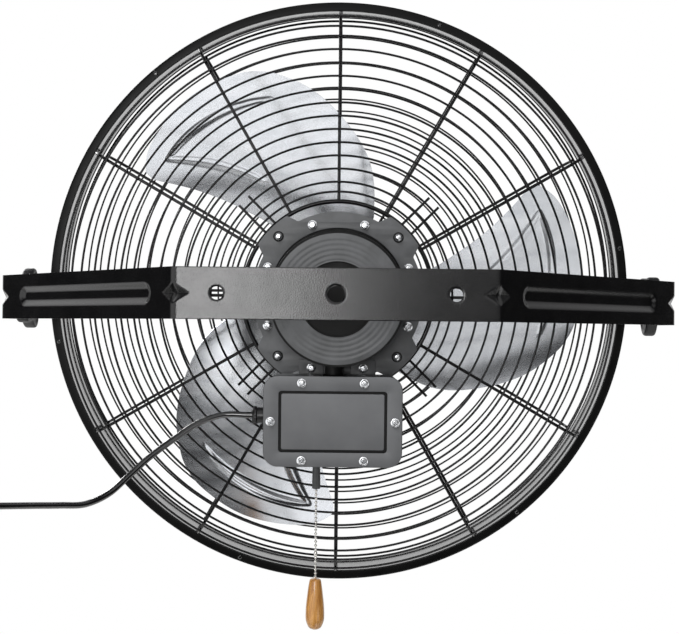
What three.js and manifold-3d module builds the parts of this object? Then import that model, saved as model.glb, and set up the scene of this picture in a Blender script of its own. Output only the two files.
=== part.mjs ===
// Wall mounted fan: a caged head with three blades that tilts in a bent strip yoke.
// Millimetres, +Z up. The wall is the plane Y = 0, the origin is the middle hole of the yoke on it,
// and the air is blown along +Y. Seen from the wall, +X is to the right.
import * as THREE from "three";
import { mergeVertices } from "three/addons/utils/BufferGeometryUtils.js";
import Module from "manifold-3d";

const wasm = await Module();
wasm.setup();

// ---- Clearances ----
const seat = 0.3; // between two pieces that rest on each other or pass through each other
const bite = 0.35; // how deep one welded wire sinks into the next

// ---- Yoke ----
const stripWidth = 50;
const stripThickness = 4;
const backHalf = 156; // from the middle to the first bend; from there the arms stand at 45 degrees
const bendRadius = 9;
const pivotAhead = 71; // from the second bend forward to the pivot
const mountingSpacing = 228;
const mountingHole = 12.5;
const middleHole = 15.5;
const channelFromBack = 30; // from the first bend to the pressed channel, along the arm
const channelToEar = 44; // and from the channel to the second bend
const channelWidth = 24;
const channelSlope = 7;
const channelDepth = 3.6;
const dartLength = 17;
const dartWidth = 15;
const dartDepth = 8;

// ---- Tilting pivots ----
const restTilt = 4; // degrees, front up
const axisRise = 10; // the fan's axis over the pivots
const pivotBolt = 9.8;
const boltHeadWidth = 22;
const boltHeadHeight = 4.5;
const lockNutWidth = 17;
const lockNutHeight = 8;
const boltEnd = 6; // thread beyond the lock nut
const starKnobWidth = 76;
const starKnobHollow = 9; // how far the hollows between the lobes lie inside the lobes
const starKnobThickness = 14;
const starKnobLobes = 5;
const standOffReach = 30.4; // from the rim to the crown of the bracket
const standOffThickness = 3;
const standOffSole = 8;
const standOffWidth = 34;
const standOffHeight = 50; // at the rim
const standOffCrown = 30;

// ---- Rim ----
const rimRadius = 340;
const rimRear = 45; // behind the pivots
const rimFront = 39; // ahead of the pivots
const rimSheet = 1.5;
const rearLip = 10;
const rearHem = 5;
const frontLip = 5;

// ---- Guards ----
const ribCount = 12;
const ribWire = 3.6;
const ringWire = 2.6;
const hubWire = 5;
const edgeWire = 4;
const ringPitch = 14.8;
const weldEvery = 3; // the rings are welded to every third rib, the others only brace them
const rearRibs = 89; // plane of the rear ribs, behind the pivots
const hubRing = 107.7;
const firstRing = 129.8;
const lastRingInset = 45; // from the rim in to the last ring at that pitch, at most
const rearFlatInset = 54; // from the rim in to where the rear ribs start to curve forward
const rearSkirtInsets = [37, 25]; // from the rim in to the rings on the skirt
const frontRibs = 59;
const frontFirstRing = 43;
const frontFlatInset = 42;
const frontSkirtInsets = [32, 23];
const centreWasher = 20;
const hairpinGap = 15; // between the legs of a hairpin
const hairpinReach = 22; // past the first ring

// ---- Motor plate and its fasteners ----
const plateRadius = 96;
const lobeRadius = 108;
const lobeHalfAngle = 14.5;
const plateThickness = 2.5;
const lobeBoltCircle = 95.5;
const lobeBolt = 6;
const lobeBoltHead = 9.5;
const motorScrewCircle = 86;
const motorScrew = 4.8;
const motorScrewHead = 11;
const sideScrewAngle = 22.5; // from the horizontal
const topScrewAngle = 20; // from the vertical

// ---- Motor ----
const canRadius = 73.5;
const canRear = 164;
const canSheet = 1.5;
const canOpening = 40;
const canFlange = 92;
const bellSheet = 3;
const bellLength = 27;
const shaftRadius = 8;
const shaftCollar = 10;
const bearingRadius = 17.5;
const bearingWidth = 11;
const bearingWall = 4;
const statorBore = 41;
const airGap = 0.6;
const coreLength = 36;
const windingLength = 54;

// ---- Blades ----
const bladeCount = 3;
const tipInset = 42.5; // from the rim in to the blade tips
const bladeAngle = 112; // middle of the first blade, anticlockwise from +X seen from the wall
const bladePlane = -12;
const bladeLead = 80; // how far the blade advances in one radian
const bladeCamber = 7;
const bladeSheet = 1.8;
const bladeRib = 5;
const hubRadius = 17;
const hubRear = -44;
const hubFront = 0;
const hubDisc = 36;
const armWidth = 36;
const armEnd = 104;
const armSheet = 3;

// ---- Junction box ----
const boxWidth = 152;
const boxHeight = 100;
const boxX = -4;
const boxZ = -134;
const boxCorner = 16;
const boxInset = 3; // the body stands this far inside the cover's outline
const boxDepth = 48;
const boxWall = 2;
const gasketThickness = 1.6;
const coverThickness = 3;
const panelWidth = 117;
const panelHeight = 66;
const panelDepth = 1.2;
const coverScrewX = 34;
const coverScrewZ = 42.5;
const coverScrewSide = 68;
const coverScrewHead = 10.5;
const coverScrewShank = 3.6;
const bossRadius = 5;
const tabSheet = 2;
const tabWidth = 28;
const tabTop = -71;
const bracketWidth = 92;
const bracketBottom = -150;
const neckRadius = 9.5;
const neckWall = 2;

// ---- Gland, switch and pull ----
const cordDiameter = 7;
const glandRise = 2.5; // over the middle of the box
const glandRadius = 7.5;
const glandLength = 11;
const glandNutRadius = 10.2;
const glandNutLength = 5;
const glandInside = 2; // thread inside the box's wall
const switchX = -22;
const switchSize = [18, 24, 26];
const barrelRadius = 5;
const sleeveLength = 32;
const sleeveTop = 4.1;
const sleeveBottom = 4.7;
const sleeveBore = 2.9;
const plungerRadius = 1.6;
const plungerLength = 34;
const capacitorRadius = 15;
const capacitorLength = 42;
const chainPitch = 4.37;
const chainBead = 1.6;
const chainLink = 0.6;
const chainBeads = 23;
const pullLength = 56;
const pullRadius = 10.5;
const pullNeck = 6;

// ---- Mains cord ----
const coilInner = 30; // middle of the cord, innermost turn
const coilTurns = 6.25;
const turnsPerLayer = 1.5;
const turnPitch = 7.6;
const coilX = -396;
const coilZ = -249;
const coilTail = 22;
const coilSteps = 20; // in one turn
const tieThickness = 1.4;
const tieWidth = 16;
const plugNose = 24;
const plugBody = 28;
const plugWidth = 25;
const plugDepth = 19;
const pinLength = 16;

// The free stretch of the cord, from the gland to the coil, as points chosen by eye.
const cordRoute = [
  [-125, 187, -130],
  [-153, 181, -139],
  [-177, 171, -155],
  [-202, 158, -174],
  [-222, 143, -193],
  [-240, 125, -210],
  [-260, 104, -218],
  [-280, 82, -216],
  [-300, 60, -213],
  [-322, 37, -210],
  [-346, 17, -207.5],
];

// ---- Facets ----
const rimFacets = 48;
const roundFacets = 24;
const smallFacets = 12;
const screwFacets = 6;

// ---- Values worked out from the above ----
const deg = Math.PI / 180;
const standOffTop = rimRadius + standOffReach;
const earInside = standOffTop + seat + starKnobThickness + seat;
const armReach = earInside + stripThickness - backHalf; // out, and as far forward, to the second bend
const pivotY = armReach + pivotAhead;
const channelLength = armReach * Math.SQRT2 - channelFromBack - channelToEar;
const bladeTip = rimRadius - tipInset;
const wireShare = 0.72; // corner radius of a three sided wire over the diameter of the round one
const weldHeight = (wire) => (ribWire + wire) * wireShare - 2 * bite; // from the ribs' middle to a ring's
const plateFront = -(rearRibs + weldHeight(hubWire) + (hubWire * wireShare) / 2 + seat);
const plateRear = plateFront - plateThickness;
const flangeRear = plateFront + seat;
const flangeFront = flangeRear + canSheet;
const bellRear = flangeFront + seat;
const bellFront = bellRear + bellLength;
const tabRear = plateRear - seat - tabSheet;
const boxFront = tabRear - seat;
const boxRear = boxFront - boxDepth;
const gasketRear = boxRear - seat - gasketThickness;
const coverRear = gasketRear - seat - coverThickness;
const boxMiddle = (boxFront + boxRear) / 2;
const bodyHalfWidth = boxWidth / 2 - boxInset;
const bodyHalfHeight = boxHeight / 2 - boxInset;
const coilOuter = coilInner + turnPitch * turnsPerLayer;
const coilBack = seat + tieThickness + seat + cordDiameter / 2;

// ================= Tools =================

/** A closed solid from a geometry, turned outside out if need be. */
function solid(geometry) {
  const bare = geometry.index ? geometry.toNonIndexed() : geometry.clone();
  for (const name of Object.keys(bare.attributes)) if (name !== "position") bare.deleteAttribute(name);
  const merged = mergeVertices(bare, 1e-4);
  const at = merged.attributes.position;
  const corners = Array.from(merged.index.array);
  const [a, b, c] = [new THREE.Vector3(), new THREE.Vector3(), new THREE.Vector3()];
  const faces = [];
  let volume = 0;
  for (let i = 0; i < corners.length; i += 3) {
    const [p, q, r] = corners.slice(i, i + 3);
    if (p === q || q === r || r === p) continue;
    faces.push([p, q, r]);
    volume += a.fromBufferAttribute(at, p).dot(b.fromBufferAttribute(at, q).cross(c.fromBufferAttribute(at, r)));
  }
  const triVerts = new Uint32Array((volume < 0 ? faces.map((f) => f.reverse()) : faces).flat());
  return new wasm.Manifold(new wasm.Mesh({ numProp: 3, vertProperties: new Float32Array(at.array), triVerts }));
}

/** The geometry of a solid, with flat normals. */
function geometryOf(body) {
  const mesh = body.getMesh();
  const geometry = new THREE.BufferGeometry();
  geometry.setAttribute("position", new THREE.BufferAttribute(new Float32Array(mesh.vertProperties), 3));
  geometry.setIndex(new THREE.BufferAttribute(new Uint32Array(mesh.triVerts), 1));
  geometry.computeVertexNormals();
  return geometry;
}

const join = (bodies) => bodies.reduce((all, one) => all.add(one));
const cut = (body, tools) => tools.reduce((left, tool) => left.subtract(tool), body);

/** A solid of revolution about the fan's axis (Y) from [radius, y] points. */
function turned(points, facets = roundFacets) {
  const closed = points[0][0] > 0 || points.at(-1)[0] > 0 ? [...points, points[0]] : points;
  return solid(new THREE.LatheGeometry(closed.map(([r, y]) => new THREE.Vector2(r, y)), facets));
}

/** A plain ring or disc about Y. */
function ring(outer, inner, from, to, facets = roundFacets) {
  return turned([[inner, from], [outer, from], [outer, to], [inner, to]], facets);
}

function disc(radius, from, to, facets = roundFacets) {
  return turned([[0, from], [radius, from], [radius, to], [0, to]], facets);
}

/** A flat outline in X and Z, extruded from one y to another. */
function pressed(shape, from, to, curveSegments = 3) {
  const geometry = new THREE.ExtrudeGeometry(shape, { depth: to - from, bevelEnabled: false, curveSegments });
  return solid(geometry.rotateX(Math.PI / 2).translate(0, to, 0));
}

function block(x, y, z, at = [0, 0, 0]) {
  return solid(new THREE.BoxGeometry(x, y, z).translate(...at));
}

const onX = (body) => body.rotate([0, 0, -90]); // turns a piece made about Y onto X
const onZ = (body) => body.rotate([90, 0, 0]); // turns a piece made about Y onto Z
const turnAbout = (body, angle) => body.rotate([0, -angle, 0]); // anticlockwise seen from the wall

/** An outline as wide as a sheet or wire, laid along both sides of a line of [x, y] points. */
function ribbon(points, thickness) {
  const line = points.map(([x, y]) => new THREE.Vector2(x, y));
  const side = (sign) => line.map((p, i) => {
    const into = line[Math.max(i, 1)].clone().sub(line[Math.max(i, 1) - 1]).normalize();
    const out = line[Math.min(i, line.length - 2) + 1].clone().sub(line[Math.min(i, line.length - 2)]).normalize();
    const mitre = new THREE.Vector2(-into.y - out.y, into.x + out.x).normalize();
    const reach = thickness / 2 / (mitre.x * -out.y + mitre.y * out.x);
    return p.clone().addScaledVector(mitre, sign * reach);
  });
  return new THREE.Shape([...side(1), ...side(-1).reverse()]);
}

/** A line of corners with each inner corner rounded. */
function rounded(corners, radius, steps = 3) {
  const line = corners.map(([x, y]) => new THREE.Vector2(x, y));
  const out = [corners[0]];
  for (let i = 1; i < line.length - 1; i++) {
    const back = line[i - 1].clone().sub(line[i]).normalize();
    const on = line[i + 1].clone().sub(line[i]).normalize();
    const half = Math.acos(THREE.MathUtils.clamp(back.dot(on), -1, 1)) / 2;
    const reach = radius / Math.tan(half);
    const centre = line[i].clone().addScaledVector(back.clone().add(on).normalize(), radius / Math.sin(half));
    const from = line[i].clone().addScaledVector(back, reach).sub(centre);
    const to = line[i].clone().addScaledVector(on, reach).sub(centre);
    const turn = Math.atan2(from.x * to.y - from.y * to.x, from.dot(to));
    for (let k = 0; k <= steps; k++) {
      const p = from.clone().rotateAround(new THREE.Vector2(), (turn * k) / steps).add(centre);
      out.push([p.x, p.y]);
    }
  }
  return [...out, corners.at(-1)];
}

function roundedRectangle(width, height, radius) {
  const [w, h] = [width / 2, height / 2];
  const shape = new THREE.Shape();
  shape.absarc(w - radius, h - radius, radius, 0, Math.PI / 2);
  shape.absarc(radius - w, h - radius, radius, Math.PI / 2, Math.PI);
  shape.absarc(radius - w, radius - h, radius, Math.PI, 1.5 * Math.PI);
  shape.absarc(w - radius, radius - h, radius, 1.5 * Math.PI, 2 * Math.PI);
  return shape;
}

/** A tube along a curve, with the given number of sides and steps. */
function tube(curve, radius, sides, steps) {
  const section = new THREE.Shape();
  section.absarc(0, 0, radius, 0, 2 * Math.PI);
  const settings = { steps, extrudePath: curve, curveSegments: sides / 2, bevelEnabled: false };
  return new THREE.ExtrudeGeometry(section, settings);
}

/** A closed sheet over a grid: at(u, v) gives a point of its middle and lift(u, v) half its thickness in y. */
function gridSheet(at, lift, across, along) {
  const place = [];
  for (const sign of [1, -1]) {
    for (let j = 0; j <= along; j++) {
      for (let i = 0; i <= across; i++) {
        const [x, y, z] = at(i / across, j / along);
        place.push(x, y + sign * lift(i / across, j / along), z);
      }
    }
  }
  const row = across + 1;
  const far = row * (along + 1);
  const index = [];
  const quad = (a, b, c, d) => index.push(a, b, c, a, c, d);
  for (let j = 0; j < along; j++) {
    for (let i = 0; i < across; i++) {
      const a = j * row + i;
      quad(a, a + 1, a + row + 1, a + row);
      quad(far + a + row, far + a + row + 1, far + a + 1, far + a);
    }
  }
  const edge = [];
  for (let i = 0; i < across; i++) edge.push(i);
  for (let j = 0; j < along; j++) edge.push(j * row + across);
  for (let i = across; i > 0; i--) edge.push(along * row + i);
  for (let j = along; j > 0; j--) edge.push(j * row);
  edge.forEach((a, i) => {
    const b = edge[(i + 1) % edge.length];
    quad(b, a, far + a, far + b);
  });
  const geometry = new THREE.BufferGeometry();
  geometry.setAttribute("position", new THREE.Float32BufferAttribute(place, 3));
  geometry.setIndex(index);
  return solid(geometry);
}

// ================= Finishes =================

const paint = (color, roughness, metalness) => new THREE.MeshStandardMaterial({ color, roughness, metalness });
const finish = {
  yoke: paint(0x1b1b1c, 0.55, 0.1),
  rim: paint(0x0d0d0e, 0.22, 0.2),
  wire: paint(0x151516, 0.35, 0.2),
  plate: paint(0x6f7072, 0.45, 0.3),
  can: paint(0x77787a, 0.4, 0.3),
  black: paint(0x0b0b0b, 0.6, 0.1),
  zinc: paint(0xd9dadd, 0.28, 1),
  steel: paint(0x9a9ca0, 0.35, 1),
  aluminium: paint(0xc4c7cb, 0.35, 1),
  box: paint(0x5f6163, 0.5, 0.2),
  knob: paint(0x131313, 0.5, 0),
  rubber: paint(0x1a1a1a, 0.7, 0),
  copper: paint(0x8c5a33, 0.45, 0.8),
  sleeve: paint(0x4c4c4c, 0.6, 0),
  wood: paint(0xb07a3a, 0.4, 0),
};

function piece(group, name, body, material) {
  const mesh = new THREE.Mesh(geometryOf(body), material);
  mesh.name = name;
  group.add(mesh);
  return mesh;
}

// ================= Yoke =================

/** A truncated ridge with sloped sides and round ends, for a pressed channel. */
function channelForm(grow) {
  const end = channelWidth / 2 - channelSlope + grow;
  const half = (channelLength - channelWidth) / 2;
  const shape = new THREE.Shape();
  shape.absarc(half, 0, end, -Math.PI / 2, Math.PI / 2);
  shape.absarc(-half, 0, end, Math.PI / 2, 1.5 * Math.PI);
  const settings = { depth: 1, bevelThickness: channelDepth, bevelSize: channelSlope, bevelSegments: 1, curveSegments: 3 };
  return solid(new THREE.ExtrudeGeometry(shape, { ...settings, bevelEnabled: true }));
}

/** The four-sided pyramid pressed into the outside of a bend. */
function dartForm() {
  return solid(new THREE.OctahedronGeometry(1).scale(dartLength, dartDepth, dartWidth / 2));
}

function yokeStrip() {
  const out = backHalf + armReach;
  const ear = pivotY + stripWidth / 2;
  const outside = [[-out, ear], [-out, armReach], [-backHalf, 0], [backHalf, 0], [out, armReach], [out, ear]];
  const half = stripThickness / 2;
  const slant = half * Math.tan(22.5 * deg);
  const middle = [
    [-out + half, ear],
    [-out + half, armReach + slant],
    [-backHalf + slant, half],
    [backHalf - slant, half],
    [out - half, armReach + slant],
    [out - half, ear],
  ];
  const path = rounded(middle, bendRadius, 2);
  const outline = ribbon(path, stripThickness);
  const settings = { depth: stripWidth, bevelEnabled: false };
  let body = solid(new THREE.ExtrudeGeometry(outline, settings).translate(0, 0, -stripWidth / 2));

  const presses = [];
  const bulges = [];
  for (const side of [-1, 1]) {
    const along = (channelFromBack + channelLength / 2) * Math.SQRT1_2;
    const channelAt = [side * (backHalf + along), along];
    const inwards = [(-side * Math.SQRT1_2), Math.SQRT1_2];
    const lay = (form, shift) => form
      .rotate([90, 0, side * 45])
      .translate([channelAt[0] + inwards[0] * shift, channelAt[1] + inwards[1] * shift, 0]);
    presses.push(lay(channelForm(0), -1 - 1));
    bulges.push(lay(channelForm(stripThickness * 0.45), stripThickness - 2));
    for (const [x, y, lean] of [[side * backHalf, 0, 22.5], [side * out, armReach, 67.5]]) {
      const normal = [-side * Math.sin(lean * deg), Math.cos(lean * deg)];
      const set = (shift) => dartForm()
        .rotate([0, 0, side * lean])
        .translate([x + normal[0] * shift, y + normal[1] * shift, 0]);
      presses.push(set(-1));
      bulges.push(set(stripThickness - 0.4));
    }
  }
  const across = (x, radius) => disc(radius, -1, stripThickness + 1, smallFacets).translate([x, 0, 0]);
  const earHole = onX(disc(pivotBolt / 2 + seat, -out - 1, out + 1, smallFacets)).translate([0, pivotY, 0]);
  const envelope = new THREE.Shape(outside.map(([x, y]) => new THREE.Vector2(x, y)));
  const within = solid(new THREE.ExtrudeGeometry(envelope, settings).translate(0, 0, -stripWidth / 2));
  body = cut(join([body, ...bulges]).intersect(within), [
    ...presses,
    across(-mountingSpacing / 2, mountingHole / 2),
    across(mountingSpacing / 2, mountingHole / 2),
    across(0, middleHole / 2),
    earHole,
  ]);
  return cut(body, [earCorner(out, 1), earCorner(out, -1)]);
}

/** What is cut away to round one corner of both ears. */
function earCorner(out, side) {
  const radius = stripWidth / 2;
  const wedge = block(2 * out + 10, radius + 2, radius + 2, [0, pivotY + radius / 2 + 1, (side * (radius + 2)) / 2]);
  return wedge.subtract(onX(disc(radius, -out - 9, out + 9, roundFacets)).translate([0, pivotY, 0]));
}

// ================= Tilting pivots =================

function starKnob() {
  const high = starKnobWidth / 2;
  const low = high - starKnobHollow;
  const outline = [];
  for (let i = 0; i < 6 * starKnobLobes; i++) {
    const a = (i / (6 * starKnobLobes)) * 2 * Math.PI;
    const r = (high + low) / 2 + ((high - low) / 2) * Math.cos(starKnobLobes * a);
    outline.push(new THREE.Vector2((r - 2) * Math.cos(a + Math.PI / 2), (r - 2) * Math.sin(a + Math.PI / 2)));
  }
  const settings = { depth: starKnobThickness - 4, bevelThickness: 2, bevelSize: 2, bevelSegments: 1 };
  const geometry = new THREE.ExtrudeGeometry(new THREE.Shape(outline), settings);
  const lobes = solid(geometry.rotateX(Math.PI / 2).translate(0, starKnobThickness - 2, 0));
  return lobes.subtract(disc(pivotBolt / 2 + seat, -1, starKnobThickness + 1, smallFacets));
}

/** The hat shaped bracket between the rim and the pivot, cut to the rim's round. */
function standOff(side) {
  const rimAt = rimRadius + seat;
  const top = standOffTop - standOffThickness / 2;
  const foot = rimAt + standOffThickness / 2;
  const path = [
    [foot, standOffHeight / 2],
    [foot, standOffHeight / 2 - standOffSole],
    [top, standOffCrown / 2],
    [top, -standOffCrown / 2],
    [foot, standOffSole - standOffHeight / 2],
    [foot, -standOffHeight / 2],
  ];
  const strip = pressed(ribbon(path, standOffThickness), -standOffWidth / 2, standOffWidth / 2);
  const hole = onX(disc(pivotBolt / 2 + seat, top - 9, top + 9, smallFacets));
  const rim = disc(rimAt, -standOffWidth, standOffWidth, 2 * rimFacets).translate([0, 0, axisRise]);
  const bracket = cut(strip, [hole, rim]);
  return side > 0 ? bracket : bracket.mirror([1, 0, 0]);
}

function addPivots(yokeGroup, headPivot) {
  const headAt = backHalf + armReach + seat;
  const nutTop = standOffTop - standOffThickness - seat;
  const nutFoot = nutTop - lockNutHeight;
  const bolt = join([
    turned([[0, headAt], [boltHeadWidth / 2, headAt], [boltHeadWidth / 2 - 1.5, headAt + boltHeadHeight * 0.6],
      [boltHeadWidth / 4, headAt + boltHeadHeight], [0, headAt + boltHeadHeight]], smallFacets),
    disc(pivotBolt / 2, nutFoot - boltEnd, headAt + 1, smallFacets),
  ]);
  const nut = disc(lockNutWidth / 2 / Math.cos(30 * deg), nutFoot, nutTop, 6)
    .subtract(disc(pivotBolt / 2 + seat, nutFoot - 1, nutTop + 1, smallFacets));
  const knob = starKnob().translate([0, standOffTop + seat, 0]);
  for (const [name, side] of [["left", -1], ["right", 1]]) {
    const place = (body) => (side > 0 ? onX(body) : onX(body).mirror([1, 0, 0])).translate([0, pivotY, 0]);
    piece(yokeGroup, `pivot_bolt_${name}`, place(bolt), finish.zinc);
    piece(yokeGroup, `pivot_nut_${name}`, place(nut), finish.zinc);
    piece(yokeGroup, `star_knob_${name}`, place(knob), finish.knob);
    piece(headPivot, `stand_off_${name}`, standOff(side), finish.yoke);
  }
}

// ================= Rim and guards =================

function rimBand() {
  const [rear, front, sheet] = [-rimRear, rimFront, rimSheet];
  const [outer, inner] = [rimRadius, rimRadius - sheet];
  return turned([
    [outer - rearLip, rear],
    [outer - 2, rear],
    [outer, rear + 2],
    [outer, front],
    [outer - frontLip, front],
    [outer - frontLip, front - sheet],
    [inner, front - sheet],
    [inner, rear + sheet],
    [outer - rearLip + sheet, rear + sheet],
    [outer - rearLip + sheet, rear + rearHem],
    [outer - rearLip, rear + rearHem],
  ], rimFacets);
}

/** A wire's section with three sides and one corner turned by an angle. */
function wireSection(wire, angle) {
  return [0, 120, 240].map((step) => {
    return [wire * wireShare * Math.cos((angle + step) * deg), wire * wireShare * Math.sin((angle + step) * deg)];
  });
}

/** A hoop of wire about the fan's axis, with a corner towards the ribs and half a step off them. */
function hoop(radius, y, wire, towards = 90) {
  const section = wireSection(wire, towards).map(([r, up]) => [radius + r, y + up]);
  const facets = radius < 80 ? 12 : radius < 150 ? 16 : radius < 230 ? 20 : 24;
  return turned(section, facets).rotate([0, 180 / facets, 0]);
}

/** The line of a rib from the middle to the rim, as [radius, y]: straight, then a quarter of an ellipse. */
function ribLine(from, flat, edge, flatY, edgeY) {
  const steps = 4;
  const line = [[from, flatY]];
  for (let i = 0; i <= steps; i++) {
    const a = (i / steps) * 90 * deg;
    line.push([flat + (edge - flat) * Math.sin(a), flatY + (edgeY - flatY) * (1 - Math.cos(a))]);
  }
  return line;
}

/** A closed bar with a section of [across, up] points along a line of points. */
function sweep(points, section, acrossAt) {
  const place = [];
  const index = [];
  const sides = section.length;
  points.forEach((p, i) => {
    const along = points[Math.min(i + 1, points.length - 1)].clone().sub(points[Math.max(i - 1, 0)]).normalize();
    const across = acrossAt(along);
    const up = new THREE.Vector3().crossVectors(along, across);
    for (const [a, b] of section) place.push(...p.clone().addScaledVector(across, a).addScaledVector(up, b));
  });
  const last = (points.length - 1) * sides;
  for (let i = 0; i < last; i += sides) {
    for (let k = 0; k < sides; k++) {
      const [a, b] = [i + k, i + ((k + 1) % sides)];
      index.push(a, b, b + sides, a, b + sides, a + sides);
    }
  }
  for (let k = 1; k < sides - 1; k++) {
    index.push(0, k + 1, k, last, last + k, last + k + 1);
  }
  const geometry = new THREE.BufferGeometry();
  geometry.setAttribute("position", new THREE.Float32BufferAttribute(place, 3));
  geometry.setIndex(index);
  return solid(geometry);
}

/** The ribs of one guard. Those that no ring is welded to lie a little inside, but for their ends. */
function ribs(line) {
  const section = wireSection(ribWire, 90);
  const flat = new THREE.Vector3(0, 0, 1);
  const bar = (points) => sweep(points.map(([r, y]) => new THREE.Vector3(r, y, 0)), section, () => flat);
  const [start, ...rest] = line;
  const inside = [start, [start[0] + hubWire, start[1]]];
  for (const [r, y] of rest) inside.push([r, y === rest.at(-1)[1] ? y : y + 2 * bite]);
  inside.splice(2, 0, [start[0] + 2 * hubWire, start[1] + 2 * bite]);
  const [welded, free] = [bar(line), bar(inside)];
  return Array.from({ length: ribCount }, (_, i) => turnAbout(i % weldEvery ? free : welded, (i * 360) / ribCount));
}

/** The line of a rib at one radius on the skirt: its height over the flat, and its outward slope. */
function skirtAt(radius, flat, edge, depth) {
  const share = THREE.MathUtils.clamp((radius - flat) / (edge - flat), 0, 1);
  const root = Math.sqrt(1 - share * share);
  return { rise: depth * (1 - root), slope: Math.atan2(depth * share, (edge - flat) * Math.max(root, 1e-3)) / deg };
}

/** A guard with its flat face towards -Y: ribs, rings on the flat and skirt, and the edge ring. */
function guard({ flatY, from, flat, edge, edgeY, rings }) {
  const bodies = ribs(ribLine(from, flat, edge, -flatY, -edgeY));
  for (const [radius, wire] of rings) {
    const { rise, slope } = skirtAt(radius, flat, edge, flatY - edgeY);
    const out = weldHeight(wire);
    const at = [radius + out * Math.sin(slope * deg), rise - flatY - out * Math.cos(slope * deg)];
    bodies.push(hoop(...at, wire, 90 + slope));
  }
  bodies.push(hoop(edge, -edgeY, edgeWire));
  return bodies;
}

const edgeInset = seat + edgeWire * wireShare * Math.cos(30 * deg);

/** The guard's rings as [radius, wire]: evenly spaced out to the last, then those on the skirt. */
function ringsFrom(first, skirtInsets) {
  const rings = [];
  for (let r = first; r <= rimRadius - lastRingInset; r += ringPitch) rings.push([r, ringWire]);
  for (const inset of skirtInsets) rings.push([rimRadius - inset, ringWire]);
  return rings;
}

function rearGuard() {
  const middle = [[hubRing, hubWire], [(hubRing + firstRing) / 2, ringWire]];
  const rings = [...middle, ...ringsFrom(firstRing, rearSkirtInsets)];
  const edge = rimRadius - rearLip - edgeInset;
  const edgeY = rimRear - rearHem / 2;
  const flat = rimRadius - rearFlatInset;
  const bodies = guard({ flatY: rearRibs, from: hubRing - hubWire / 2, flat, edge, edgeY, rings });
  return join([...bodies, ...hairpins()]);
}

/** The four hairpin wires round the lobe bolts. */
function hairpins() {
  const half = hairpinGap / 2;
  const bend = [];
  for (let i = 0; i <= 4; i++) {
    const a = (90 + i * 45) * deg;
    bend.push([lobeBoltCircle + half * Math.cos(a), half * Math.sin(a)]);
  }
  const end = firstRing + hairpinReach;
  const line = [[end, half], ...bend, [end, -half]];
  const outside = -rearRibs - ribWire * wireShare + bite;
  const one = pressed(ribbon(line, ribWire - 0.6), outside, outside + ribWire - 0.6);
  return [45, 135, 225, 315].map((angle) => turnAbout(one, angle));
}

/** The front guard: the same with its face to the room, and a washer that holds its ribs in the middle. */
function frontGuard() {
  const rings = ringsFrom(frontFirstRing, frontSkirtInsets);
  const edge = rimRadius - frontLip - edgeInset;
  const edgeY = rimFront - edgeWire / 2;
  const flat = rimRadius - frontFlatInset;
  const bodies = guard({ flatY: frontRibs, from: centreWasher - 6, flat, edge, edgeY, rings });
  bodies.push(disc(centreWasher, -frontRibs - ribWire * wireShare - 1, -frontRibs - ribWire / 4, ribCount));
  return join(bodies).mirror([0, 1, 0]);
}

// ================= Motor plate =================

function plateOutline() {
  const shape = new THREE.Shape();
  const step = 2.2 * deg; // the sloped flank of a lobe
  const half = lobeHalfAngle * deg;
  for (let i = 0; i < 4; i++) {
    const middle = (45 + i * 90) * deg;
    shape.absarc(0, 0, plateRadius, middle - Math.PI / 2 + half + step, middle - half - step);
    shape.absarc(0, 0, lobeRadius, middle - half + step, middle + half - step);
  }
  return shape;
}

const screwAngles = [
  sideScrewAngle,
  90 - topScrewAngle,
  90 + topScrewAngle,
  180 - sideScrewAngle,
  180 + sideScrewAngle,
  270 - topScrewAngle,
  270 + topScrewAngle,
  360 - sideScrewAngle,
];

const onCircle = (radius, angle) => [radius * Math.cos(angle * deg), radius * Math.sin(angle * deg)];

/** Through holes on a circle, as tools to cut with. */
function drills(circle, angles, radius) {
  return angles.map((angle) => {
    const [x, z] = onCircle(circle, angle);
    return disc(radius, plateRear - 9, bellFront, screwFacets).translate([x, 0, z]);
  });
}

function motorPlate() {
  const holes = [
    disc(canRadius + seat, plateRear - 1, plateFront + 1),
    ...drills(lobeBoltCircle, [45, 135, 225, 315], lobeBolt / 2 + seat),
    ...drills(motorScrewCircle, screwAngles, motorScrew / 2 + seat),
  ];
  return cut(pressed(plateOutline(), plateRear, plateFront, 3), holes);
}

function addPlateFasteners(head) {
  const nutAt = -rearRibs + ribWire / 2 + seat;
  const bolt = turned([
    [0, plateRear - seat - 3],
    [lobeBoltHead / 2 - 1.6, plateRear - seat - 3],
    [lobeBoltHead / 2, plateRear - seat - 1.2],
    [lobeBoltHead / 2, plateRear - seat],
    [lobeBolt / 2, plateRear - seat],
    [lobeBolt / 2, nutAt],
    [hairpinGap / 2 + 3, nutAt],
    [hairpinGap / 2 + 3, nutAt + 2],
    [lobeBolt / 2, nutAt + 6],
    [0, nutAt + 6],
  ], screwFacets);
  [45, 135, 225, 315].forEach((angle, i) => {
    const [x, z] = onCircle(lobeBoltCircle, angle);
    piece(head, `plate_bolt_${i + 1}`, bolt.translate([x, 0, z]), finish.zinc);
  });
  screwAngles.forEach((angle, i) => {
    const [x, z] = onCircle(motorScrewCircle, angle);
    const under = angle > 225 && angle < 315 ? tabRear - seat : plateRear - seat;
    const screw = turned([
      [0, under - 3.6],
      [motorScrewHead / 2 - 2, under - 3.6],
      [motorScrewHead / 2, under - 1],
      [motorScrewHead / 2, under],
      [motorScrew / 2, under],
      [motorScrew / 2, bellRear + bellSheet + 3],
      [0, bellRear + bellSheet + 3],
    ], screwFacets);
    piece(head, `plate_screw_${i + 1}`, screw.translate([x, 0, z]), finish.zinc);
  });
}

// ================= Motor =================

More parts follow.
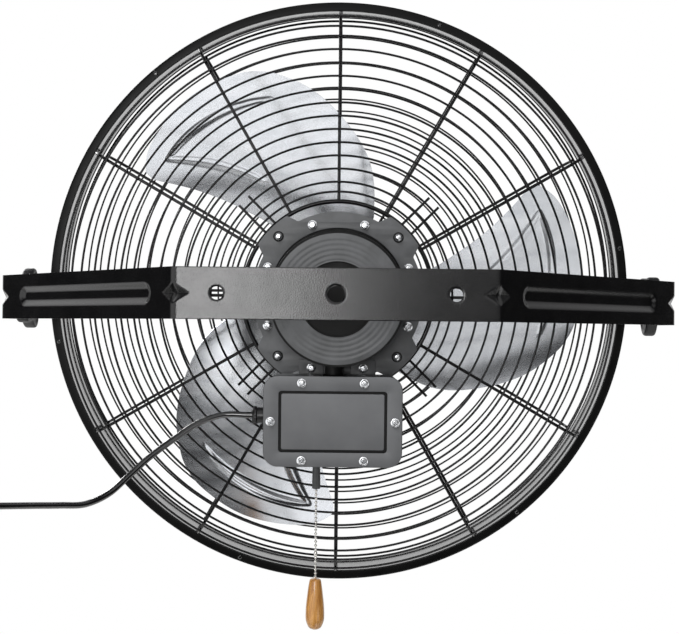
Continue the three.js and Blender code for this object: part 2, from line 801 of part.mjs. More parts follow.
/** The rear can: a drawn cup with a rippled end, a round opening and a flange behind the plate. */
function motorCan() {
  const end = -canRear;
  const inside = canRadius - canSheet;
  const ripple = (canRadius - canOpening) / 6;
  const face = [];
  for (let i = 0; i <= 5; i++) face.push([canOpening + i * ripple, end + (i % 2 ? 1.6 : 0)]);
  const back = [face[0], face.at(-1)].map(([r]) => [r, end + canSheet + 1.6]).reverse();
  const profile = [
    ...face,
    [canRadius, end + 3],
    [canRadius, flangeRear],
    [canFlange, flangeRear],
    [canFlange, flangeFront],
    [inside, flangeFront],
    [inside, end + 3 + canSheet],
    ...back,
  ];
  return cut(turned(profile, roundFacets), drills(motorScrewCircle, screwAngles, motorScrew / 2 + seat));
}

function frontBell() {
  const boss = bearingRadius + seat + bearingWall;
  const seatAt = bellFront - bearingWidth - seat;
  const profile = [
    [canFlange, bellRear],
    [canFlange, bellRear + bellSheet],
    [canRadius - 2, bellRear + bellSheet],
    [canRadius - 12, bellFront - bearingWidth],
    [boss, bellFront - bearingWidth + 2],
    [boss, bellFront],
    [bearingRadius - 5, bellFront],
    [bearingRadius - 5, bellFront - 2],
    [bearingRadius + seat, bellFront - 2],
    [bearingRadius + seat, seatAt - bellSheet],
    [canRadius - 13, seatAt - bellSheet],
    [canRadius - 5, bellRear],
  ];
  return cut(turned(profile, roundFacets - 4), drills(motorScrewCircle, screwAngles, motorScrew / 2 + seat));
}

const canInsideEnd = -canRear + canSheet + 1.6 + seat;
const coreMiddle = (canInsideEnd + bellRear) / 2;

/** The bracket inside the can's opening that holds the rear bearing. */
function bearingBracket() {
  const boss = bearingRadius + seat + bearingWall;
  return turned([
    [bearingRadius - 5, canInsideEnd],
    [canOpening + 18, canInsideEnd],
    [canOpening + 18, canInsideEnd + 2],
    [boss, canInsideEnd + 2],
    [boss, canInsideEnd + 2 + bearingWidth],
    [bearingRadius + seat, canInsideEnd + 2 + bearingWidth],
    [bearingRadius + seat, canInsideEnd + 2],
    [bearingRadius - 5, canInsideEnd + 2],
  ], roundFacets - 8);
}

function addMotor(head, fan) {
  const [rearBearing, frontBearing] = [canInsideEnd + 2 + seat, bellFront - 2 - seat - bearingWidth];
  const bearing = (from) => ring(bearingRadius, shaftRadius + seat, from, from + bearingWidth, roundFacets - 8);
  piece(head, "motor_rear_can", motorCan(), finish.can);
  piece(head, "motor_front_bell", frontBell(), finish.can);
  piece(head, "rear_bearing_bracket", bearingBracket(), finish.black);
  piece(head, "rear_bearing", bearing(rearBearing), finish.steel);
  piece(head, "front_bearing", bearing(frontBearing), finish.steel);

  const core = coreLength / 2;
  const winding = windingLength / 2;
  const coreOuter = canRadius - canSheet - seat;
  const stator = turned([
    [statorBore, coreMiddle - core],
    [statorBore + 7, coreMiddle - winding],
    [coreOuter - 7, coreMiddle - winding],
    [coreOuter - 5, coreMiddle - core],
    [coreOuter, coreMiddle - core],
    [coreOuter, coreMiddle + core],
    [coreOuter - 5, coreMiddle + core],
    [coreOuter - 7, coreMiddle + winding],
    [statorBore + 7, coreMiddle + winding],
    [statorBore, coreMiddle + core],
  ]);
  piece(head, "stator", stator, finish.copper);
  const rotor = ring(statorBore - airGap, shaftCollar + seat, coreMiddle - core, coreMiddle + core, roundFacets - 4);
  piece(fan, "rotor", rotor, finish.steel);

  const collarFrom = rearBearing + bearingWidth + seat;
  const shaft = turned([
    [0, canInsideEnd],
    [shaftRadius, canInsideEnd],
    [shaftRadius, collarFrom],
    [shaftCollar, collarFrom],
    [shaftCollar, frontBearing - seat],
    [shaftRadius, frontBearing - seat],
    [shaftRadius, hubFront + 3],
    [shaftRadius - 1, hubFront + 4],
    [0, hubFront + 4],
  ], smallFacets);
  piece(fan, "motor_shaft", shaft, finish.steel);
}

// ================= Blades =================

// The four edges of the first blade seen from the wall, as [degrees, share of the tip's radius].
const leadingEdge = [[73, 0.222], [66.5, 0.316], [69, 0.376], [77, 0.528], [88, 0.679], [98, 0.817], [107, 0.918]];
const tipEdge = [[107, 0.918], [112, 0.955], [118, 0.978], [127, 1], [137, 0.998], [144, 0.985], [148.5, 0.951]];
const trailingEdge = [[130, 0.222], [135, 0.397], [138.5, 0.5], [142, 0.629], [146.5, 0.797], [149, 0.901],
  [148.5, 0.951]];
const rootEdge = [[73, 0.222], [130, 0.222]];
const onBlade = (spot) => [spot[0], spot[1] * bladeTip];
const edgeCurve = (points) => new THREE.SplineCurve(points.map((spot) => new THREE.Vector2(...onBlade(spot))));
const [leading, tip, trailing, root] = [leadingEdge, tipEdge, trailingEdge, rootEdge].map(edgeCurve);

/** The point of the blade's outline plane at share u from leading to trailing edge and v from root to tip. */
function bladeSpot(u, v) {
  const [l, t, r, b] = [leading.getPoint(v), tip.getPoint(u), trailing.getPoint(v), root.getPoint(u)];
  const corner = (curve, end) => curve.getPoint(end);
  const ruled = new THREE.Vector2()
    .addScaledVector(l, 1 - u)
    .addScaledVector(r, u)
    .addScaledVector(b, 1 - v)
    .addScaledVector(t, v);
  return ruled
    .addScaledVector(corner(root, 0), -(1 - u) * (1 - v))
    .addScaledVector(corner(root, 1), -u * (1 - v))
    .addScaledVector(corner(tip, 0), -(1 - u) * v)
    .addScaledVector(corner(tip, 1), -u * v);
}

/** Height of the blade's middle surface: a screw surface, hollow on the side that pushes the air. */
function bladeHeight(angle, radius) {
  const share = THREE.MathUtils.clamp((angle - 66) / (149 - 66), 0, 1);
  const fade = THREE.MathUtils.smoothstep(radius, 60, 130);
  return bladePlane + bladeLead * (angle - bladeAngle) * deg - bladeCamber * 4 * share * (1 - share) * fade;
}

const slant = (radius) => Math.hypot(1, bladeLead / radius);

function bladePoint(angle, radius, lift = 0) {
  const [x, z] = onCircle(radius, angle);
  return [x, bladeHeight(angle, radius) + lift * slant(radius), z];
}

/** A ridge pressed out of the blade's rear face, between two [degrees, radius] points. */
function bladeRidge(from, to) {
  const middle = (u) => from.map((value, i) => value + (to[i] - value) * u);
  const at = (u, v) => {
    const [angle, radius] = middle(v);
    const across = ((u - 0.5) * bladeRib) / radius / deg;
    const turn = (to[0] - from[0]) * deg * radius;
    const rise = to[1] - from[1];
    const length = Math.hypot(turn, rise);
    const ridge = bladePoint(angle + (across * rise) / length, radius - ((u - 0.5) * bladeRib * turn) / length);
    return [ridge[0], ridge[1] - bladeSheet * 0.5, ridge[2]];
  };
  const lift = (u) => 0.4 + 1.6 * Math.sin(Math.PI * u);
  return gridSheet(at, lift, 2, 3);
}

function blade(angle) {
  const at = (u, v) => {
    const spot = bladeSpot(u, v);
    return bladePoint(spot.x, spot.y);
  };
  const lift = (u, v) => (bladeSheet / 2) * slant(bladeSpot(u, v).y);
  const sheet = gridSheet(at, lift, 5, 6);
  const ridges = [
    bladeRidge(onBlade([136, 0.504]), onBlade([143.5, 0.928])),
    bladeRidge(onBlade([112, 0.834]), onBlade([143.5, 0.934])),
  ];
  return turnAbout(join([sheet, ...ridges]), angle);
}

/** The spider: a boss on the shaft, a disc, and an arm behind the root of each blade. */
function spider() {
  const under = (bladeSheet + armSheet) / 2 + 2 * seat;
  const first = hubDisc - 10;
  const rootRadius = onBlade(rootEdge[0])[1];
  const at = (u, v) => {
    const radius = first + (armEnd - first) * v;
    const angle = bladeAngle - 8 + (((u - 0.5) * armWidth) / radius / deg);
    const twist = THREE.MathUtils.smoothstep(radius, first + 2, rootRadius - 4);
    const blade = bladeHeight(angle, radius) - under * slant(radius);
    const flat = bladeHeight(bladeAngle - 8, radius) - under;
    const [x, z] = onCircle(radius, angle);
    return [x, flat + (blade - flat) * twist, z];
  };
  const lift = (u, v) => (armSheet / 2) * slant(Math.max(first + (armEnd - first) * v, rootRadius - 6));
  const arm = gridSheet(at, lift, 2, 5);
  const discAt = bladeHeight(bladeAngle - 8, first) - under;
  const bodies = [
    disc(hubRadius, hubRear, hubFront, roundFacets - 4),
    disc(hubDisc, discAt - armSheet / 2 - 1, discAt + armSheet / 2 + 1, roundFacets - 4),
  ];
  for (let i = 0; i < bladeCount; i++) bodies.push(turnAbout(arm, (i * 360) / bladeCount));
  return join(bodies).subtract(disc(shaftRadius + seat, hubRear - 1, hubFront + 1, smallFacets));
}

function addBlades(fan) {
  piece(fan, "blade_spider", spider(), finish.steel);
  for (let i = 0; i < bladeCount; i++) {
    piece(fan, `blade_${i + 1}`, blade((i * 360) / bladeCount), finish.aluminium);
  }
}

// ================= Junction box =================

const coverScrewSpots = [
  [-coverScrewX, coverScrewZ],
  [coverScrewX, coverScrewZ],
  [-coverScrewSide, 0],
  [coverScrewSide, 0],
  [-coverScrewX, -coverScrewZ],
  [coverScrewX, -coverScrewZ],
];

const screwBosses = () => coverScrewSpots.map(([x, z]) => {
  return disc(bossRadius, boxRear, boxFront - boxWall, screwFacets).translate([boxX + x, 0, boxZ + z]);
});

function boxBody() {
  const outline = roundedRectangle(2 * bodyHalfWidth, 2 * bodyHalfHeight, boxCorner - boxInset);
  const inside = roundedRectangle(2 * (bodyHalfWidth - boxWall), 2 * (bodyHalfHeight - boxWall), boxCorner - boxInset - boxWall);
  const shell = pressed(outline, boxRear, boxFront, 2).subtract(pressed(inside, boxRear - 1, boxFront - boxWall, 2));
  const glandEnd = boxWall + glandInside + seat - bodyHalfWidth;
  const glandHole = onX(disc(glandRadius - 1.5, -bodyHalfWidth - 3, glandEnd, smallFacets));
  const neckHole = onZ(disc(neckRadius - neckWall, bodyHalfHeight - 5, bodyHalfHeight + 5, smallFacets));
  const sleeveHole = onZ(disc(barrelRadius + seat, -bodyHalfHeight - 5, 5 - bodyHalfHeight, smallFacets));
  const posts = screwBosses();
  const threads = coverScrewSpots.map(([x, z]) => {
    return disc(coverScrewShank / 2 + seat, boxRear - 1, boxRear + 13, screwFacets).translate([x, 0, z]);
  });
  return cut(join([shell.translate([boxX, 0, boxZ]), ...posts]), [
    glandHole.translate([boxX, boxMiddle, boxZ + glandRise]),
    neckHole.translate([boxX, boxMiddle, boxZ]),
    sleeveHole.translate([switchX, boxMiddle, boxZ]),
    ...threads.map((tool) => tool.translate([boxX, 0, boxZ])),
  ]);
}

function drillCover(body) {
  return cut(body, coverScrewSpots.map(([x, z]) => {
    return disc(coverScrewShank / 2 + seat, coverRear - 5, boxRear, screwFacets).translate([x, 0, z]);
  }));
}

function boxGasket() {
  const outer = roundedRectangle(2 * bodyHalfWidth, 2 * bodyHalfHeight, boxCorner - boxInset);
  const inner = roundedRectangle(2 * bodyHalfWidth - 26, 2 * bodyHalfHeight - 26, 6);
  outer.holes.push(inner);
  return drillCover(pressed(outer, gasketRear, gasketRear + gasketThickness, 2)).translate([boxX, 0, boxZ]);
}

/** The cover: a groove runs round its panel. */
function boxCover() {
  const sheet = pressed(roundedRectangle(boxWidth, boxHeight, boxCorner), coverRear, coverRear + coverThickness, 3);
  const groove = roundedRectangle(panelWidth, panelHeight, 3);
  groove.holes.push(roundedRectangle(panelWidth - 5, panelHeight - 5, 1.5));
  const sunk = pressed(groove, coverRear - 1, coverRear + panelDepth, 1);
  return drillCover(sheet.subtract(sunk)).translate([boxX, 0, boxZ]);
}

/** The flat bracket behind the box, with a tab up to each of the motor's two lower screws. */
function boxBracket() {
  const half = bracketWidth / 2;
  const top = boxZ + bodyHalfHeight - 2;
  const tabX = onCircle(motorScrewCircle, 270 + topScrewAngle)[0];
  const corners = [
    [-half, bracketBottom], [half, bracketBottom], [half, top],
    [tabX + tabWidth / 2, top], [tabX + tabWidth / 2, tabTop], [tabX - tabWidth / 2, tabTop], [tabX - tabWidth / 2, top],
    [tabWidth / 2 - tabX, top], [tabWidth / 2 - tabX, tabTop], [-tabWidth / 2 - tabX, tabTop], [-tabWidth / 2 - tabX, top],
    [-half, top],
  ];
  const shape = new THREE.Shape(corners.map(([x, z]) => new THREE.Vector2(x, z)));
  const sheet = pressed(shape, tabRear, tabRear + tabSheet);
  const can = disc(canRadius + seat, tabRear - 1, plateFront, roundFacets);
  return cut(sheet, [can, ...drills(motorScrewCircle, screwAngles.slice(5, 7), motorScrew / 2 + seat)]);
}

/** The short tube from the motor can down into the box. */
function boxNeck() {
  const top = -canRadius + 4;
  const bottom = boxZ + bodyHalfHeight + seat;
  const wall = onZ(ring(neckRadius, neckRadius - neckWall, bottom, top, smallFacets + 4));
  const can = disc(canRadius + seat, -canRear, plateRear, 2 * roundFacets);
  return wall.translate([boxX, boxMiddle, 0]).subtract(can);
}

function addBox(head) {
  piece(head, "box_bracket", boxBracket(), finish.plate);
  piece(head, "box_neck", boxNeck(), finish.black);
  piece(head, "box_body", boxBody(), finish.box);
  piece(head, "box_gasket", boxGasket(), finish.rubber);
  piece(head, "box_cover", boxCover(), finish.box);
  const head0 = coverRear - seat;
  const screw = turned([
    [0, head0 - 3],
    [coverScrewHead / 2 - 2.4, head0 - 3],
    [coverScrewHead / 2, head0 - 1],
    [coverScrewHead / 2, head0],
    [coverScrewShank / 2, head0],
    [coverScrewShank / 2, boxRear + 11],
    [0, boxRear + 11],
  ], screwFacets);
  coverScrewSpots.forEach(([x, z], i) => {
    piece(head, `cover_screw_${i + 1}`, screw.translate([boxX + x, 0, boxZ + z]), finish.zinc);
  });
  addGland(head);
  addSwitch(head);
}

const glandZ = boxZ + glandRise;
const glandWall = boxX - bodyHalfWidth; // outer face of the box's left wall
const cordExit = glandWall - seat - glandLength - seat - glandNutLength;

function addGland(head) {
  const bore = cordDiameter / 2 + seat;
  const shank = glandRadius - 1.5 - seat;
  const body = turned([
    [bore, glandWall + boxWall + glandInside],
    [shank, glandWall + boxWall + glandInside],
    [shank, glandWall - seat],
    [glandRadius, glandWall - seat],
    [glandRadius, glandWall - seat - glandLength],
    [bore, glandWall - seat - glandLength],
  ], smallFacets);
  const nutAt = glandWall - seat - glandLength - seat;
  const nut = turned([
    [0, nutAt],
    [glandNutRadius, nutAt],
    [glandNutRadius, nutAt - glandNutLength + 2],
    [glandNutRadius - 2, nutAt - glandNutLength],
    [0, nutAt - glandNutLength],
  ], smallFacets);
  piece(head, "gland_body", onX(body).translate([0, boxMiddle, glandZ]), finish.black);
  piece(head, "gland_nut", onX(nut).translate([0, boxMiddle, glandZ]), finish.black);
}

const sleeveFrom = boxZ - bodyHalfHeight - seat;
const sleeveEnd = sleeveFrom - sleeveLength;

function addSwitch(head) {
  const [width, depth, height] = switchSize;
  const floor = boxZ - bodyHalfHeight + boxWall + seat;
  const bore = plungerRadius + seat;
  const housing = join([
    block(width, depth, height, [0, 0, floor + height / 2]),
    onZ(disc(barrelRadius, sleeveFrom + seat, floor + 1, smallFacets)),
  ]).subtract(onZ(disc(bore, sleeveFrom - 1, sleeveEnd + plungerLength + seat, smallFacets)));
  piece(head, "pull_switch", housing.translate([switchX, boxMiddle, 0]), finish.black);
  const sleeve = turned([
    [sleeveBore, sleeveFrom],
    [sleeveTop, sleeveFrom],
    [sleeveBottom, sleeveEnd],
    [sleeveBore, sleeveEnd],
  ], smallFacets + 2);
  piece(head, "switch_sleeve", onZ(sleeve).translate([switchX, boxMiddle, 0]), finish.sleeve);
  const can = onX(disc(capacitorRadius, -capacitorLength / 2, capacitorLength / 2, smallFacets + 6));
  const capacitorZ = boxZ - coverScrewZ + bossRadius + seat + capacitorRadius;
  const capacitor = can.translate([boxX + coverScrewX, boxMiddle, capacitorZ]);
  piece(head, "run_capacitor", capacitor, finish.aluminium);
}

// ================= Pull =================

/** The switch's plunger, which slides in the sleeve. */
function addPlunger(head) {
  const plunger = onZ(disc(plungerRadius, sleeveEnd, sleeveEnd + plungerLength - seat, screwFacets));
  piece(head, "switch_plunger", plunger.translate([switchX, boxMiddle, 0]), finish.steel);
}

/** The chain and the wooden pull hang plumb from the foot of the sleeve. */
function addPull(pull) {
  const chain = [[0, -seat]];
  for (let i = 0; i < chainBeads; i++) {
    const at = -seat - i * chainPitch;
    chain.push([chainLink, at - 0.3], [chainBead, at - chainPitch / 2]);
  }
  const end = -seat - chainBeads * chainPitch;
  chain.push([chainLink, end], [0, end]);
  piece(pull, "pull_chain", onZ(turned(chain, 5)), finish.zinc);

  const top = end - seat;
  const outline = new THREE.SplineCurve([
    [pullNeck, 0], [pullNeck + 1.6, 8], [pullRadius - 0.7, 26], [pullRadius, 38], [pullRadius - 0.5, 46],
    [pullRadius - 3.4, 53], [pullRadius - 7, pullLength - 0.6],
  ].map(([r, z]) => new THREE.Vector2(r, -z)));
  const profile = [[0, top]];
  for (const p of outline.getSpacedPoints(8)) profile.push([p.x, top + p.y]);
  profile.push([0, top - pullLength]);
  piece(pull, "wooden_pull", onZ(turned(profile, 12)), finish.wood);
}

// ================= Mains cord =================

/** The middle of the coiled cord after some turns: in and out again, and up a layer at each reversal. */
function coilSpot(turns) {
  const layer = Math.min(Math.floor(turns / turnsPerLayer), 3);
  const along = turns - layer * turnsPerLayer;
  const inwards = layer % 2 === 0;
  const radius = inwards ? coilOuter - along * turnPitch : coilInner + along * turnPitch;
  let level = 0;
  for (let k = 1; k <= 3; k++) {
    level += THREE.MathUtils.clamp((turns - k * turnsPerLayer) / 0.5 + 0.5, 0, 1);
  }
  const angle = Math.PI / 2 + turns * 2 * Math.PI;
  return [coilX + radius * Math.cos(angle), coilBack + level * turnPitch, coilZ + radius * Math.sin(angle)];
}

const coilStart = coilSpot(0);
const coilEnd = coilSpot(coilTurns);

/** The points of the coil's middle line, with a straight lead and a straight tail. */
function coilLine() {
  const steps = Math.round(coilTurns * coilSteps);
  const points = [[coilStart[0] + cordDiameter, coilStart[1], coilStart[2]]];
  for (let i = 0; i <= steps; i++) points.push(coilSpot((i / steps) * coilTurns));
  points.push([coilEnd[0], coilEnd[1], coilEnd[2] - coilTail / 2]);
  points.push([coilEnd[0], coilEnd[1], coilEnd[2] - coilTail]);
  return points.map((p) => new THREE.Vector3(...p));
}

/** A tube of six sides along the coil's line, square to the wall. */
function coilTube(points) {
  const section = [];
  for (let k = 0; k < 6; k++) {
    const a = ((k + 0.5) / 6) * 2 * Math.PI;
    section.push([(cordDiameter / 2) * Math.cos(a), (cordDiameter / 2) * Math.sin(a)]);
  }
  const y = new THREE.Vector3(0, 1, 0);
  return sweep(points, section, (along) => new THREE.Vector3().crossVectors(y, along).normalize());
}

/** The least distance between turns of the coil, less the cord's diameter. */
function coilGap(points) {
  let least = Infinity;
  for (let i = 0; i < points.length; i++) {
    for (let j = i + 12; j < points.length; j++) least = Math.min(least, points[i].distanceTo(points[j]));
  }
  return least - cordDiameter;
}

/** Where the cord leaves the gland nut, in the object's own frame. */
function cordStart() {
  const [y, z] = [boxMiddle, glandZ + axisRise];
  const [c, s] = [Math.cos(restTilt * deg), Math.sin(restTilt * deg)];
  return [cordExit - seat, pivotY + y * c - z * s, y * s + z * c];
}

function addCord(object) {
  const start = cordStart();
  const finishAt = [coilStart[0] + cordDiameter + seat, coilStart[1], coilStart[2]];
  const route = [
    start,
    [start[0] - cordDiameter, start[1], start[2]],
    ...cordRoute,
    [finishAt[0] + cordDiameter, finishAt[1], finishAt[2]],
    finishAt,
  ].map((p) => new THREE.Vector3(...p));
  const curve = new THREE.CatmullRomCurve3(route, false, "centripetal");
  const free = solid(tube(curve, cordDiameter / 2, 8, 28));
  piece(object, "mains_cord", free, finish.rubber);

  const line = coilLine();
  piece(object, "cord_coil", coilTube(line), finish.rubber);
  let coiled = 0;
  for (let i = 1; i < line.length; i++) coiled += line[i].distanceTo(line[i - 1]);
  console.log(`least gap in the coil ${coilGap(line).toFixed(2)} mm`);
  console.log(`cord ${(curve.getLength() + coiled).toFixed(0)} mm, of which ${coiled.toFixed(0)} mm coiled`);
  addTie(object);
  addPlug(object);
}

/** The strap round the turns, at the lower right of the coil. */
function addTie(object) {
  const reach = cordDiameter / 2 + seat;
  const [low, high] = [coilInner - reach, coilOuter + 0.25 * turnPitch + reach];
  const tall = 3 * turnPitch + cordDiameter + 2 * seat;
  const hollow = roundedRectangle(high - low, tall, 1.5);
  const strap = roundedRectangle(high - low + 2 * tieThickness, tall + 2 * tieThickness, 1.5 + tieThickness);
  strap.holes.push(hollow);
  const geometry = new THREE.ExtrudeGeometry(strap, { depth: tieWidth, bevelEnabled: false, curveSegments: 1 });
  const band = solid(geometry.translate((low + high) / 2, 0, -tieWidth / 2));
  const level = coilBack + 1.5 * turnPitch;
  piece(object, "cord_tie", turnAbout(band, -40).translate([coilX, level, coilZ]), finish.black);
}

/** The plug hangs from the end of the coil: a tapered nose, a body and three pins. */
function addPlug(object) {
  const face = -plugNose - plugBody;
  const nose = new THREE.CylinderGeometry(cordDiameter / 2 + 0.6, plugDepth / 2, plugNose, 12);
  const grip = new THREE.CylinderGeometry(plugDepth / 2, plugWidth / 2, plugBody, 12).scale(1, 1, plugDepth / plugWidth);
  const bodies = [
    solid(nose.translate(0, -plugNose / 2, 0)),
    solid(grip.translate(0, -plugNose - plugBody / 2 + 0.2, 0)),
  ];
  for (const side of [-1, 1]) {
    bodies.push(block(1.5, pinLength + 2, 6.4, [side * 6.35, face - pinLength / 2, -3]));
  }
  bodies.push(disc(2.4, face - pinLength - 2, face + 1, screwFacets).translate([0, 0, 5]));
  const plug = join(bodies).rotate([-90, 0, 0]).rotate([180, 0, 0]);
  piece(object, "power_plug", plug.translate([coilEnd[0], coilEnd[1], coilEnd[2] - coilTail - seat]), finish.rubber);
}

// ================= The whole object =================

const fanUnit = new THREE.Group();
const yokeGroup = new THREE.Group();
const headPivot = new THREE.Group(); // the head's pivot line, tilted as it rests
headPivot.position.set(0, pivotY, 0);
headPivot.rotation.x = restTilt * deg;
const head = new THREE.Group(); // the fan's axis
head.position.z = axisRise;
const fan = new THREE.Group();
const pull = new THREE.Group();
pull.position.set(switchX, boxMiddle, sleeveEnd);
pull.rotation.x = -restTilt * deg;
fanUnit.add(yokeGroup, headPivot);
headPivot.add(head);
head.add(fan, pull);

piece(yokeGroup, "yoke", yokeStrip(), finish.yoke);
addPivots(yokeGroup, headPivot);
piece(head, "rim_band", rimBand(), finish.rim);
piece(head, "rear_guard", rearGuard(), finish.wire);
piece(head, "front_guard", frontGuard(), finish.wire);
piece(head, "motor_plate", motorPlate(), finish.plate);
addPlateFasteners(head);
addMotor(head, fan);
addBlades(fan);
addBox(head);
addPlunger(head);
addPull(pull);
addCord(fanUnit);

export default fanUnit;
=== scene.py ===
# Wall mounted fan: a wire cage with three blades on a tilting head, carried by a bent strip yoke.
# Sizes are in millimetres in the dictionaries and become metres in the meshes.
import math
import bmesh
import bpy
from mathutils import Matrix, Vector


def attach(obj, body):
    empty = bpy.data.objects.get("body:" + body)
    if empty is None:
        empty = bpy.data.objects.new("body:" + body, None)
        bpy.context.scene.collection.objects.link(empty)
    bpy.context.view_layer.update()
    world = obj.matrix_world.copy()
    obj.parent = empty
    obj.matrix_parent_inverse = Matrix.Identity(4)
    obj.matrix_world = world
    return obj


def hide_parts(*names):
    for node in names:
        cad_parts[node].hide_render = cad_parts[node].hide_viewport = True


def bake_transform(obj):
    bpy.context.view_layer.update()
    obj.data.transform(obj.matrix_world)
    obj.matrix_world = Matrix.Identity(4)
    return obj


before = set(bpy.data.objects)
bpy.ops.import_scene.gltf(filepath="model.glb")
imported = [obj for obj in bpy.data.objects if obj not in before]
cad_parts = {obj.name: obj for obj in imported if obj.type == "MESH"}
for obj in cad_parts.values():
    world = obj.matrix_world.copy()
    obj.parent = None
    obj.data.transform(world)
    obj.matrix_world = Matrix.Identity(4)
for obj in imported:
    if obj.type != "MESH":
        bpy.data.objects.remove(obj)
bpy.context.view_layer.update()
mm = 0.001

# the head tilts 4 degrees about a line 304 mm off the wall, and the fan's axis lies 10 mm over it
tilting = {"pivotY": 304, "tilt": 4, "axisRise": 10}
headPlace = (
    Matrix.Translation((0, tilting["pivotY"] * mm, 0))
    @ Matrix.Rotation(math.radians(tilting["tilt"]), 4, "X")
    @ Matrix.Translation((0, 0, tilting["axisRise"] * mm))
)


def addObject(name, data):
    added = bpy.data.objects.new(name, data)
    bpy.context.collection.objects.link(added)
    return added


# ---- camera ----
cameraSetup = {"position": (8.3, -1074, -32.6), "pitch": 0.58, "roll": 0.58, "yaw": -0.28,
               "lens": 60.02, "sensor": 36}


def placeCamera(setup):
    pitch, roll, yaw = (math.radians(setup[key]) for key in ("pitch", "roll", "yaw"))
    ahead = Vector((math.sin(yaw) * math.cos(pitch), math.cos(yaw) * math.cos(pitch), math.sin(pitch)))
    level = Vector((math.cos(yaw), -math.sin(yaw), 0))
    up = level.cross(ahead)
    right = level * math.cos(roll) + up * math.sin(roll)
    top = up * math.cos(roll) - level * math.sin(roll)
    camera = addObject("camera", bpy.data.cameras.new("camera"))
    camera.data.sensor_fit = "HORIZONTAL"
    camera.data.sensor_width = setup["sensor"]
    camera.data.lens = setup["lens"]
    camera.data.clip_start = 0.01
    turn = Matrix((right, top, -ahead)).transposed().to_4x4()
    camera.matrix_world = Matrix.Translation(Vector(setup["position"]) * mm) @ turn
    bpy.context.scene.camera = camera


placeCamera(cameraSetup)
print("camera placed")


# ---- mesh helpers ----
def shade(piece, sharp=32):
    mesh = piece.data
    mesh.polygons.foreach_set("use_smooth", [True] * len(mesh.polygons))
    mesh.set_sharp_from_angle(angle=math.radians(sharp))
    return piece


def faceOutwards(mesh):
    work = bmesh.new()
    work.from_mesh(mesh)
    bmesh.ops.remove_doubles(work, verts=work.verts, dist=1e-6)
    bmesh.ops.recalc_face_normals(work, faces=work.faces)
    work.to_mesh(mesh)
    work.free()


def makePiece(name, points, faces, material, sharp=32, place=None, outwards=True):
    mesh = bpy.data.meshes.new(name)
    mesh.from_pydata([Vector(p) * mm for p in points], [], faces)
    if place:
        mesh.transform(place)
    if outwards:
        faceOutwards(mesh)
    mesh.materials.append(material)
    piece = addObject(name, mesh)
    return shade(piece, sharp)


# turns what the modifiers make into the piece's own mesh
def settle(piece, sharp=32):
    graph = bpy.context.evaluated_depsgraph_get()
    mesh = bpy.data.meshes.new_from_object(piece.evaluated_get(graph))
    piece.modifiers.clear()
    piece.data = mesh
    return shade(piece, sharp)


# gives an open sheet its wall: offset -1 puts it behind the sheet, 0 on both sides
def thickened(piece, thick, offset, sharp=32, even=False):
    wall = piece.modifiers.new("wall", "SOLIDIFY")
    wall.thickness = thick * mm
    wall.offset = offset
    wall.use_even_offset = even
    return settle(piece, sharp)


def bevelled(piece, width, segments=2, angle=40, sharp=32):
    bevel = piece.modifiers.new("edges", "BEVEL")
    bevel.width = width * mm
    bevel.segments = segments
    bevel.limit_method = "ANGLE"
    bevel.angle_limit = math.radians(angle)
    return settle(piece, sharp)


def merge(name, pieces):
    work = bmesh.new()
    slots = []
    for piece in pieces:
        first = len(work.faces)
        work.from_mesh(piece.data)
        work.faces.ensure_lookup_table()
        own = list(piece.data.materials)
        for material in own:
            if material not in slots:
                slots.append(material)
        for face in work.faces[first:]:
            face.material_index = slots.index(own[min(face.material_index, len(own) - 1)])
    mesh = bpy.data.meshes.new(name)
    work.to_mesh(mesh)
    work.free()
    for material in slots:
        mesh.materials.append(material)
    for piece in pieces:
        bpy.data.objects.remove(piece)
    whole = addObject(name, mesh)
    return whole


# rounds the corners of an outline given as (x, y) or (x, y, radius)
def soften(corners, radius=0.6, steps=4, closed=True):
    count = len(corners)
    line = []
    for i, corner in enumerate(corners):
        at = Vector(corner[:2])
        own = corner[2] if len(corner) > 2 else radius
        if own == 0 or (not closed and i in (0, count - 1)):
            line.append(tuple(at))
            continue
        back = Vector(corners[i - 1][:2]) - at
        on = Vector(corners[(i + 1) % count][:2]) - at
        turn = back.angle(on)
        reach = min(own / math.tan(turn / 2), back.length * 0.48, on.length * 0.48)
        if turn > 3.1:
            line.append(tuple(at))
            continue
        start, end = at + back.normalized() * reach, at + on.normalized() * reach
        for k in range(steps + 1):
            t = k / steps
            line.append(tuple(start * (1 - t) ** 2 + at * 2 * t * (1 - t) + end * t * t))
    return line


# a body turned about the fan's axis from (radius, y) points
def turned(name, profile, material, steps=96, closed=True, sharp=32, place=headPlace):
    points, rings = [], []
    for radius, y in profile:
        if radius < 1e-4:
            rings.append([len(points)])
            points.append((0, y, 0))
            continue
        rings.append(list(range(len(points), len(points) + steps)))
        for k in range(steps):
            a = 2 * math.pi * k / steps
            points.append((radius * math.cos(a), y, radius * math.sin(a)))
    faces = []
    pairs = list(zip(rings, rings[1:])) + ([(rings[-1], rings[0])] if closed else [])
    for low, high in pairs:
        for k in range(steps):
            j = (k + 1) % steps
            face = [low[k % len(low)], low[j % len(low)], high[j % len(high)], high[k % len(high)]]
            face = list(dict.fromkeys(face))
            if len(face) > 2:
                faces.append(face)
    return makePiece(name, points, faces, material, sharp, place)


# faces between rows of points, each row a loop of the same count; the last row joins the first if closed
def bands(rows, sides, closed=True, first=0):
    faces = []
    for i in range(rows if closed else rows - 1):
        low, high = first + i * sides, first + (i + 1) % rows * sides
        for k in range(sides):
            j = (k + 1) % sides
            faces.append([low + k, low + j, high + j, high + k])
    return faces


# faces of a sheet with open edges, from points laid row by row
def sheetFaces(across, along):
    row = across + 1
    corners = [j * row + i for j in range(along) for i in range(across)]
    return [[c, c + 1, c + row + 1, c + row] for c in corners]


